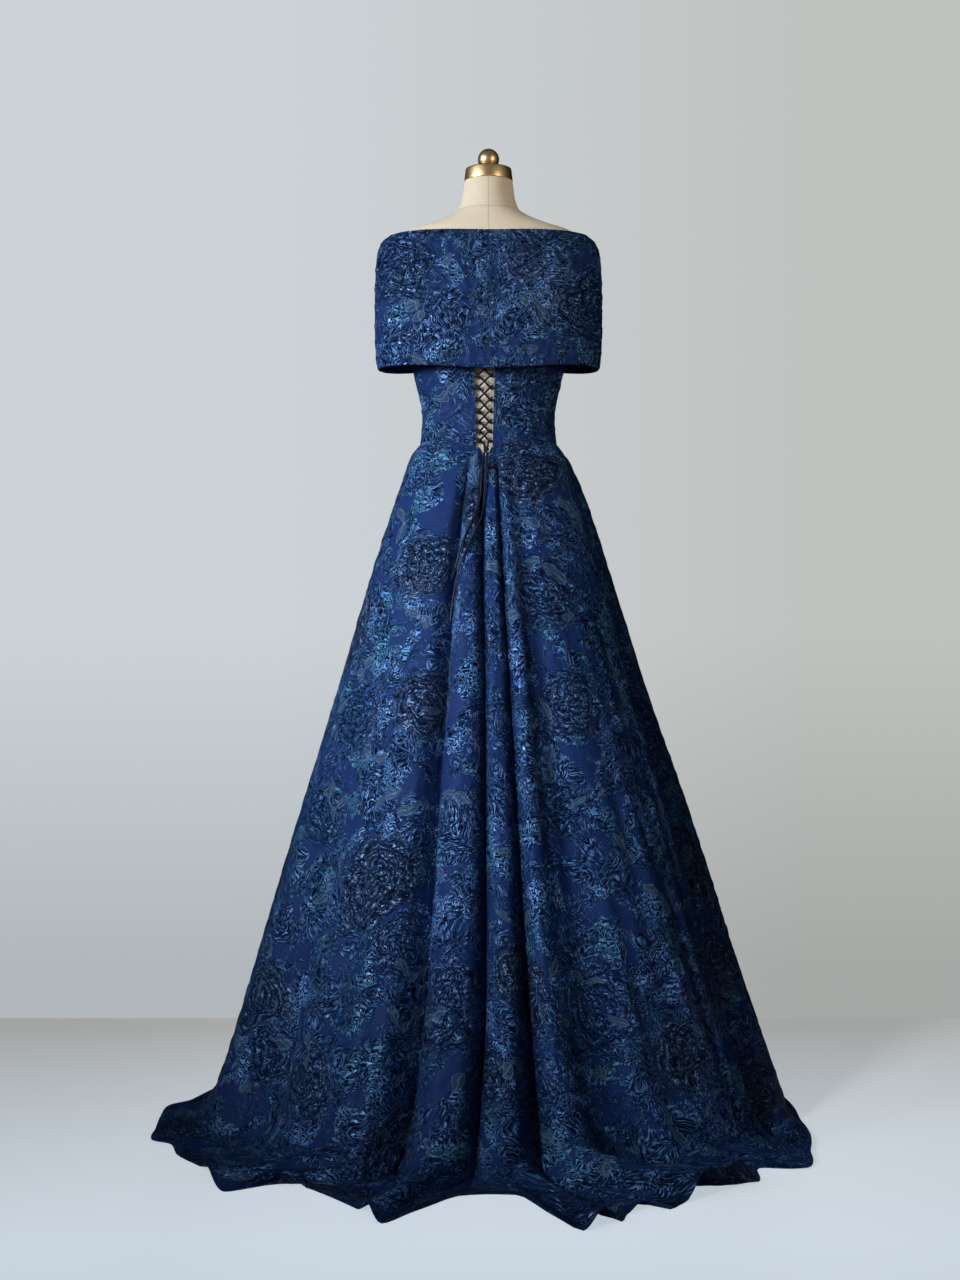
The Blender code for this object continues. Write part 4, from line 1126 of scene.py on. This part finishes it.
@dataclass
class Collar:
    """The wide band round the shoulders: doubled brocade, turned at its upper and lower edges."""

    finish: Material
    front_dip: float = 0.026
    back_dip: float = 0.006
    bottom_side: float = 1.3135
    bottom_back_drop: float = 0.0135
    bottom_front_rise: float = 0.028
    side_seam: float = 90.0
    centre_back: float = -2.0
    columns: int = 170
    face_rows: int = 76
    measured_row: int = 30
    seam_inset: float = 0.06
    lay_radius: float = 0.17
    lay_length: float = 0.25
    crimp_half_angle: float = 9.0
    crimp_low: float = 1.32
    crimp_rise: float = 0.21
    crimp_pitch: float = 0.0115
    crimp_height: float = 0.0007

    def top_height(self, degrees: Grid) -> Grid:
        """The top edge, lower at the front and a little lower at the back than on the shoulders."""
        cosine = np.cos(np.radians(degrees))
        dip = np.where(cosine > 0, self.back_dip, self.front_dip) * cosine**2
        return COLLAR_GIRTHS[-1].height - dip

    def bottom_height(self, degrees: Grid) -> Grid:
        """The lower edge, which rises towards the front."""
        cosine = np.cos(np.radians(degrees))
        return self.bottom_side + np.where(cosine > 0, -self.bottom_back_drop, self.bottom_front_rise) * cosine**2

    def section(self, degrees: Grid) -> tuple[Grid, Grid, Grid, Grid]:
        """Closed sections of the doubled band.

        Args:
            degrees: The angles of the sections.

        Returns:
            Radius and height of each point of each section, the share down its face, and how far
            the point's own crinkle shows, 1 on the outer face and 0 on the inner.
        """
        half = COLLAR_THICKNESS / 2
        low, high = self.bottom_height(degrees)[None, :], self.top_height(degrees)[None, :]
        shares = np.linspace(1, 0, self.face_rows)[:, None]
        heights = low + half + shares * (high - low - COLLAR_THICKNESS)
        face = girth_radius(COLLAR_GIRTHS, np.broadcast_to(degrees[None, :], heights.shape), heights)
        turns = np.radians(np.array([30, 60, 90, 120, 150]))[:, None]
        bottom = (
            face[-1:] - half + half * np.cos(turns),
            low + half - half * np.sin(turns) * np.ones_like(face[-1:]),
        )
        top = (
            face[:1] - half - half * np.cos(turns),
            high - half + half * np.sin(turns) * np.ones_like(face[:1]),
        )
        radii = np.concatenate([face, bottom[0], face[::-1] - COLLAR_THICKNESS, top[0]])
        levels = np.concatenate([heights, bottom[1], heights[::-1], top[1]])
        down = np.concatenate([1 - shares, np.ones((5, 1)), 1 - shares[::-1], np.zeros((5, 1))])
        shown = np.concatenate(
            [np.ones((self.face_rows, 1)), np.full((5, 1), 0.6), np.zeros((self.face_rows, 1)), np.full((5, 1), 0.6)]
        )
        return radii, levels, down * np.ones_like(radii), shown * np.ones_like(radii)

    def build_part(self, node: str, first: float, last: float, offset: float) -> Object:
        """One part of the band between two seams."""
        degrees = inset(np.linspace(first, last, self.columns), self.seam_inset)
        radii, levels, down, shown = self.section(degrees)
        spread = np.broadcast_to(degrees[None, :], radii.shape)
        u = np.radians(wrapped(spread)) * self.lay_radius + offset
        v = down * self.lay_length
        lift = Puckers(seed=41, shortest=0.010, longest=0.036, height=0.0008).lift(u, levels) * shown
        from_back = np.abs(wrapped(spread - self.centre_back)) / self.crimp_half_angle
        up = np.clip((levels - self.crimp_low) / self.crimp_rise, 0, 1)
        ripple = np.cos(2 * math.pi * levels / self.crimp_pitch + np.sin(spread * 0.9) * 1.6)
        lift = lift + self.crimp_height * np.exp(-(from_back**2)) * np.sin(math.pi * up) * ripple * shown
        points = around(spread, radii + lift * edge_fade(self.columns)[None, :], levels)
        sheet = Sheet(points, points, np.stack([u, v], axis=-1))
        mesh = wall_mesh(f"{node}_cloth", sheet, closed_ring=True)
        piece = put(f"{node}_cloth", mesh, self.finish)
        dress(piece, [node])
        return piece

    def build(self) -> None:
        """The two backs, which meet at the centre back, and the front."""
        self.build_part("collar_back_left", -self.side_seam, self.centre_back, 14.0)
        self.build_part("collar_back_right", self.centre_back, self.side_seam, 14.0)
        self.build_part("collar_front", self.side_seam, 360 - self.side_seam, 16.0)


def cord_curve(name: str, points: Grid, radius: float, resolution: int = 3) -> Curve:
    """Round cord along points, with closed ends."""
    curve = bpy.data.curves.new(name, "CURVE")
    curve.dimensions = "3D"
    curve.bevel_depth = radius
    curve.bevel_resolution = resolution
    curve.use_fill_caps = True
    spline = curve.splines.new("POLY")
    spline.points.add(len(points) - 1)
    flat = np.concatenate([points, np.ones((len(points), 1))], axis=1)
    spline.points.foreach_set("co", flat.astype(np.float32).ravel())
    return curve


def rounded(points: Grid, per_span: int) -> Grid:
    """Smooth curve through points, with a few more between each two."""
    count = len(points)
    lengths = np.concatenate([[0], np.cumsum(np.sqrt(np.linalg.norm(np.diff(points, axis=0), axis=1)))])
    wanted = np.interp(np.linspace(0, count - 1, (count - 1) * per_span + 1), np.arange(count), lengths)
    padded = np.vstack([2 * points[0] - points[1], points, 2 * points[-1] - points[-2]])
    knots = np.concatenate([[lengths[0] - (lengths[1] - lengths[0])], lengths, [2 * lengths[-1] - lengths[-2]]])
    index = np.clip(np.searchsorted(lengths, wanted, side="right") - 1, 0, count - 2)
    result = []
    for at, i in zip(wanted, index):
        p = padded[i : i + 4]
        t = knots[i : i + 4]
        a = [((t[k + 1] - at) * p[k] + (at - t[k]) * p[k + 1]) / (t[k + 1] - t[k]) for k in range(3)]
        b = [((t[k + 2] - at) * a[k] + (at - t[k]) * a[k + 1]) / (t[k + 2] - t[k]) for k in range(2)]
        result.append(((t[2] - at) * b[0] + (at - t[1]) * b[1]) / (t[2] - t[1]))
    return np.array(result)


@dataclass
class Lacing:
    """Rolled loops down both edges of the opening, the lace through them, and its two free ends."""

    finish: Material
    bodice: Bodice
    skirt: Skirt
    lace_radius: float = 0.0018
    loop_radius: float = 0.0011
    loop_reach: float = 0.0065
    loop_half_height: float = 0.0032
    loop_depth: float = -0.0010
    turn_radius: float = 0.0035
    over: float = 0.0011
    under: float = -0.0029
    lowest_loop: float = 1.1765
    pitches: Sequence[float] = (0.0165, 0.017, 0.0188, 0.020, 0.0205, 0.0205, 0.021, 0.022)
    knot_height: float = 1.1605
    knot_x: float = -0.0045
    knot_radius: float = 0.0046
    end_apart: float = 0.0029
    end_above: float = 0.0047
    tail_clearance: float = 0.0006
    tail_bridge: float = 1.5
    tail_step: float = 2.6
    left_tail: Sequence[TailPoint] = tuple(
        TailPoint(*row)
        for row in (
            (1.154, -4.0), (1.142, -4.9), (1.115, -5.6), (1.086, -5.6), (1.056, -7.2), (1.032, -10.2), (1.004, -13.8),
            (0.975, -16.2), (0.952, -17.6),
        )
    )
    right_tail: Sequence[TailPoint] = tuple(
        TailPoint(*row)
        for row in (
            (1.154, -1.6), (1.142, -1.8), (1.115, -2.4), (1.082, -2.9), (1.042, -4.4), (1.016, -7.6), (0.982, -12.0),
            (0.945, -15.6), (0.912, -17.0), (0.884, -17.8), (0.858, -18.0),
        )
    )

    def heights(self) -> Grid:
        """Heights of the loops, from the top down."""
        return (self.lowest_loop + np.concatenate([[0], np.cumsum(self.pitches)]))[::-1]

    def place(self, x: float, height: float, depth: float) -> Grid:
        """Point over the opening: x from the axis, a height, and a depth out from the bodice's face."""
        degrees = math.degrees(math.asin(x / float(self.bodice.radius(0.0, height))))
        return around(degrees, float(self.bodice.radius(degrees, height)) + depth, height)

    def loop(self, side: int, height: float) -> Grid:
        """Points of one rolled loop."""
        edge = self.bodice.opening_x + side * (self.bodice.opening_half(height) - SEAM_GAP - 0.0002)
        tip = edge - side * (self.loop_reach - self.loop_half_height)
        points = [self.place(edge, height + self.loop_half_height, self.loop_depth)]
        for turn in np.linspace(90, -90, 13):
            angle = math.radians(turn)
            x = tip - side * self.loop_half_height * math.cos(angle)
            points.append(self.place(x, height + self.loop_half_height * math.sin(angle), self.loop_depth))
        points.append(self.place(edge, height - self.loop_half_height, self.loop_depth))
        return np.array(points)

    def strand(self, first_side: int, first_face: int) -> list[Grid]:
        """One strand down the opening: round each loop's tip, changing face, then across."""
        points = []
        side, face = first_side, first_face
        heights = self.heights()
        for number, height in enumerate(heights):
            tip_x = self.bodice.opening_x + side * (self.bodice.opening_half(height) - self.loop_reach)
            for turn in (90, 45, 0, -45, -90):
                angle = math.radians(turn * face)
                x = tip_x + side * self.turn_radius * math.cos(angle)
                depth = self.loop_depth + self.turn_radius * math.sin(angle)
                points.append(self.place(x, height + 0.0005 * turn / 90, depth))
            face = -face
            if number + 1 < len(heights):
                middle = (height + heights[number + 1]) / 2
                points.append(self.place(self.bodice.opening_x, middle, self.over if face > 0 else self.under))
            side = -side
        return points

    def tail_route(self, rows: Sequence[TailPoint]) -> Grid:
        """Points of a hanging end, just clear of the skirt and across its hollows, as its solid has."""
        numbers = np.arange(len(rows), dtype=float)
        fine = np.linspace(0, len(rows) - 1, 12 * len(rows))
        heights = smooth_through(fine, numbers, [row.height for row in rows])
        angles = smooth_through(fine, numbers, [row.angle for row in rows])
        across = np.arange(-45.0, 30.0, 0.25)
        section_heights = [-section.height for section in SKIRT_SECTIONS]
        radii = []
        for height, degrees in zip(heights, angles):
            run = float(np.interp(-height, section_heights, [section.run for section in SKIRT_SECTIONS]))
            cloth = self.skirt.point(across, np.full(across.shape, run))
            near = np.abs(np.degrees(np.arctan2(cloth[:, 0], -cloth[:, 1])) - degrees) < self.tail_bridge
            radii.append(float(np.hypot(cloth[near, 0], cloth[near, 1]).max()))
        even = np.convolve(np.pad(radii, 4, mode="edge"), np.ones(9) / 9, mode="valid")
        curve = around(angles, np.maximum(even, radii) + self.lace_radius + self.tail_clearance, heights)
        lengths = np.concatenate([[0], np.cumsum(np.linalg.norm(np.diff(curve, axis=0), axis=1))])
        count = round(lengths[-1] / (self.tail_step * 2 * self.lace_radius)) + 1
        wanted = np.linspace(0, lengths[-1], count)
        return np.stack([np.interp(wanted, lengths, curve[:, axis]) for axis in range(3)], axis=1)

    def build_tails(self) -> None:
        """The two free ends, which hang down the skirt."""
        for node, rows in (("lace_tail_left", self.left_tail), ("lace_tail_right", self.right_tail)):
            points = self.tail_route(rows)
            piece = put(f"{node}_cord", cord_curve(f"{node}_cord", points, self.lace_radius), self.finish)
            dress(piece, [node])

    def build_knot(self) -> None:
        """The knot: the cord drawn through itself in a small trefoil."""
        centre = self.place(self.knot_x, self.knot_height, self.over + 0.0035)
        turns = np.linspace(0, 2 * math.pi, 61)[:-1]
        ring = 0.0026 + 0.0010 * np.cos(3 * turns)
        points = np.stack(
            [ring * np.cos(2 * turns), 0.0012 * np.sin(3 * turns), 1.15 * ring * np.sin(2 * turns)], axis=1
        )
        curve = cord_curve("lace_knot_tied", points + centre, 0.00165)
        curve.splines[0].use_cyclic_u = True
        dress(put("lace_knot_tied", curve, self.finish), ["lace_knot"])

    def build(self) -> None:
        """Loops, lace, knot and free ends."""
        for side, label in ((-1, "left"), (1, "right")):
            for number, height in enumerate(self.heights(), start=1):
                node = f"lace_loop_{label}_{number}"
                curve = cord_curve(f"{node}_rolled", self.loop(side, float(height)), self.loop_radius)
                dress(put(f"{node}_rolled", curve, self.finish), [node])
        left, right = self.strand(-1, 1), self.strand(1, -1)
        depth = self.over + 0.0035
        ends = [
            self.place(self.knot_x + side * self.end_apart, self.knot_height + self.end_above, depth - 0.001)
            for side in (-1, 1)
        ]
        through = self.place(self.knot_x - 0.0035, self.knot_height + 0.0095, self.under)
        route = np.array([ends[0], through, *reversed(left), *right, ends[1]])
        piece = put("lace_crossed", cord_curve("lace_crossed", rounded(route, 3), self.lace_radius), self.finish)
        dress(piece, ["lace"])
        self.build_knot()


@dataclass
class DressForm:
    """The padded form: linen-covered torso and neck, spun cap and ball finial, pole and foot."""

    linen: Material
    brass: Material
    steel: Material
    sides: int = 128
    levels: int = 170
    cap_height: float = 0.0222
    cap_bottom_radius: float = 0.0438
    cap_top_radius: float = 0.0412
    finial_radius: float = 0.0192
    finial_seat_radius: float = 0.0085
    pole_radius: float = 0.0125
    foot_radius: float = 0.165
    foot_height: float = 0.030
    foot_rim: float = 0.012

    def build_torso(self) -> None:
        """Torso and neck, lofted up through the girths and closed at both ends."""
        heights = smooth_through(
            np.linspace(0, 1, self.levels), (0, 0.6, 1), (FORM_GIRTHS[0].height, 1.52, FORM_GIRTHS[-1].height)
        )
        degrees = np.linspace(0, 360, self.sides, endpoint=False)
        grid_height, grid_degrees = np.meshgrid(heights, degrees, indexing="ij")
        points = around(grid_degrees, girth_radius(FORM_GIRTHS, grid_degrees, grid_height), grid_height)
        index = np.arange(self.levels * self.sides).reshape(self.levels, self.sides)
        after = np.roll(index, -1, axis=1)
        quads = np.stack([index[:-1], after[:-1], after[1:], index[1:]], axis=-1).reshape(-1, 4).tolist()
        mesh = bpy.data.meshes.new("form_cover")
        mesh.from_pydata(points.reshape(-1, 3).tolist(), [], [*quads, index[0, ::-1].tolist(), index[-1].tolist()])
        mesh.shade_smooth()
        mesh.set_sharp_from_angle(angle=math.radians(60))
        dress(put("form_cover", mesh, self.linen), ["form_torso"])

    def turned(self, name: str, radius: float, depth: float, middle: float) -> Object:
        """A cylinder about the stand's axis, in edit mode with nothing selected."""
        bpy.ops.object.select_all(action="DESELECT")
        bpy.ops.mesh.primitive_cylinder_add(vertices=96, radius=radius, depth=depth, location=(0, 0, middle))
        piece = bpy.context.object
        piece.name = name
        bpy.ops.object.transform_apply(location=True, rotation=True, scale=True)
        bpy.ops.object.mode_set(mode="EDIT")
        bpy.ops.mesh.select_all(action="DESELECT")
        return piece

    def select_faces(self, piece: Object, wanted: Callable[[Vector, Vector], bool]) -> None:
        """Select the faces whose middle and normal pass a test."""
        bpy.ops.mesh.select_mode(type="FACE")
        work = bmesh.from_edit_mesh(piece.data)
        for face in work.faces:
            face.select_set(wanted(face.calc_center_median(), face.normal))
        bmesh.update_edit_mesh(piece.data)

    def finish_turned(
        self, piece: Object, nodes: Sequence[str], finish: Material, round_edge: float
    ) -> None:
        """Round a turned piece's edges, smooth it and dress it."""
        bpy.ops.object.mode_set(mode="OBJECT")
        bevel = piece.modifiers.new("rounded_edges", "BEVEL")
        bevel.width = round_edge
        bevel.segments = 3
        bevel.limit_method = "ANGLE"
        bevel.angle_limit = math.radians(35)
        bpy.ops.object.modifier_apply(modifier=bevel.name)
        bpy.ops.object.shade_smooth_by_angle(angle=math.radians(40))
        piece.data.materials.clear()
        piece.data.materials.append(finish)
        dress(piece, nodes)

    def build_cap(self) -> None:
        """The cap on the neck: a shallow spun dish with a raised bead round its lower edge."""
        bottom = FORM_GIRTHS[-1].height + SEAM_GAP
        piece = self.turned("neck_cap_spun", self.cap_bottom_radius, self.cap_height, bottom + self.cap_height / 2)
        self.select_faces(piece, lambda middle, normal: normal.z > 0.9)
        shrink = self.cap_top_radius / self.cap_bottom_radius
        bpy.ops.transform.resize(value=(shrink, shrink, 1))
        bpy.ops.mesh.inset(thickness=0.0035, depth=0.0006)
        bpy.ops.mesh.inset(thickness=0.020, depth=0.0)
        bpy.ops.mesh.select_all(action="DESELECT")
        self.select_faces(piece, lambda middle, normal: normal.z < -0.9)
        bpy.ops.mesh.inset(thickness=0.0012, depth=0.0)
        self.finish_turned(piece, ["form_neck_cap"], self.brass, 0.0011)

    def build_finial(self) -> None:
        """The ball, cut flat where it sits on the cap."""
        seat = FORM_GIRTHS[-1].height + SEAM_GAP + self.cap_height + SEAM_GAP
        centre = seat + math.sqrt(self.finial_radius**2 - self.finial_seat_radius**2)
        bpy.ops.object.select_all(action="DESELECT")
        bpy.ops.mesh.primitive_uv_sphere_add(
            segments=64, ring_count=40, radius=self.finial_radius, location=(0, 0, centre)
        )
        piece = bpy.context.object
        piece.name = "finial_ball"
        bpy.ops.object.transform_apply(location=True, rotation=True, scale=True)
        bpy.ops.object.mode_set(mode="EDIT")
        bpy.ops.mesh.select_all(action="SELECT")
        bpy.ops.mesh.bisect(plane_co=(0, 0, seat), plane_no=(0, 0, -1), use_fill=True, clear_outer=True)
        self.finish_turned(piece, ["form_finial"], self.brass, 0.0004)

    def build_stand(self) -> None:
        """The pole and the round foot under the skirt."""
        top, bottom = FORM_GIRTHS[0].height - SEAM_GAP, self.foot_height + SEAM_GAP
        pole = self.turned("stand_pole_tube", self.pole_radius, top - bottom, (top + bottom) / 2)
        self.select_faces(pole, lambda middle, normal: abs(normal.z) > 0.9)
        bpy.ops.mesh.inset(thickness=0.002, depth=0.0)
        self.finish_turned(pole, ["stand_pole"], self.steel, 0.0006)
        foot = self.turned("stand_foot_disc", self.foot_radius, self.foot_rim, self.foot_rim / 2)
        self.select_faces(foot, lambda middle, normal: normal.z > 0.9)
        bpy.ops.mesh.inset(thickness=0.006, depth=0.0)
        bpy.ops.mesh.inset(thickness=0.118, depth=0.008)
        bpy.ops.mesh.inset(thickness=0.012, depth=self.foot_height - self.foot_rim - 0.008)
        self.finish_turned(foot, ["stand_foot"], self.steel, 0.002)

    def build(self) -> None:
        """Torso, cap, finial and stand."""
        self.build_torso()
        self.build_cap()
        self.build_finial()
        self.build_stand()


@dataclass
class Studio:
    """Camera, plain floor, and a tall window's soft light from the left."""

    floor_finish: Material
    wall_finish: Material
    focal_px: float = 1775.0
    frame_height_px: float = 1280.0
    camera_height: float = 0.828
    camera_distance: float = 3.195
    camera_x: float = -0.0153
    wall_distance: float = 0.69
    wall_height: float = 5.0
    reach: float = 7.0

    def build_camera(self) -> None:
        """The photograph's level view of the back."""
        data = bpy.data.cameras.new("camera")
        data.sensor_width = 36.0
        data.lens = 36.0 * self.focal_px / self.frame_height_px
        camera = bpy.data.objects.new("camera", data)
        camera.location = (self.camera_x, -self.camera_distance, self.camera_height)
        camera.rotation_euler = (math.pi / 2, 0, 0)
        bpy.context.scene.collection.objects.link(camera)
        bpy.context.scene.camera = camera

    def build_floor(self) -> None:
        """A pale floor, and a wall across it behind the form."""
        mesh = bpy.data.meshes.new("studio_floor")
        reach, far = self.reach, self.wall_distance
        corners = [(-reach, -reach, 0), (reach, -reach, 0), (reach, reach, 0), (-reach, reach, 0)]
        mesh.from_pydata(corners, [], [(0, 1, 2, 3)])
        put("studio_floor", mesh, self.floor_finish)
        wall = bpy.data.meshes.new("studio_wall")
        high = self.wall_height
        corners = [(-reach, far, 0), (reach, far, 0), (reach, far, high), (-reach, far, high)]
        wall.from_pydata(corners, [], [(0, 1, 2, 3)])
        put("studio_wall", wall, self.wall_finish)

    def add_lamp(self, lamp: Lamp) -> None:
        """A lamp of the table, which the camera doesn't see."""
        data = bpy.data.lights.new(lamp.name, "AREA")
        data.shape = "RECTANGLE"
        data.size, data.size_y = lamp.size
        data.energy = lamp.power
        data.color = linear(lamp.tint)[:3]
        data.spread = math.radians(lamp.spread)
        made = bpy.data.objects.new(lamp.name, data)
        made.location = lamp.place
        made.rotation_euler = (Vector(lamp.aim) - Vector(lamp.place)).to_track_quat("-Z", "Y").to_euler()
        made.visible_camera = False
        made.visible_glossy = lamp.sheen
        bpy.context.scene.collection.objects.link(made)

    def build(self) -> None:
        """Camera, floor, lamps and a pale surround."""
        self.build_camera()
        self.build_floor()
        for lamp in LAMPS:
            self.add_lamp(lamp)
        self.build_room()

    def build_room(self) -> None:
        """A pale room all round: seen as the photograph's wall, but lighting the gown only dimly."""
        world = bpy.data.worlds.new("pale_room")
        world.use_nodes = True
        tree = world.node_tree
        seen = tree.nodes["Background"]
        seen.inputs["Color"].default_value = linear("#c7cbcb")
        dim = add_node(tree, "Background", {}, {"Color": linear("#d9dfe6"), "Strength": 0.145})
        path = add_node(tree, "LightPath", {}, {})
        room = add_node(tree, "MixShader", {}, {0: path.outputs["Is Camera Ray"], 1: dim, 2: seen})
        feed(tree, tree.nodes["World Output"], {"Surface": room})
        scene = bpy.context.scene
        scene.world = world
        scene.view_settings.view_transform = "Standard"


def main() -> None:
    """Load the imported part, dress it and light it."""
    logging.basicConfig(level=logging.INFO, format="%(name)s: %(message)s")
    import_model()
    Studio(PaintedFloor().build(), PaintedWall().build()).build()
    brocade = CrinkledBrocade().build()
    bodice = Bodice(brocade)
    skirt = Skirt(brocade, bodice)
    lacing = Lacing(SatinCord().build(), bodice, skirt)
    lacing.build_tails()
    DressForm(LinenCover().build(), SpunBrass().build(), PowderCoatedSteel().build()).build()
    bodice.build()
    skirt.build()
    Collar(brocade).build()
    lacing.build()


if __name__ == "__main__":
    main()
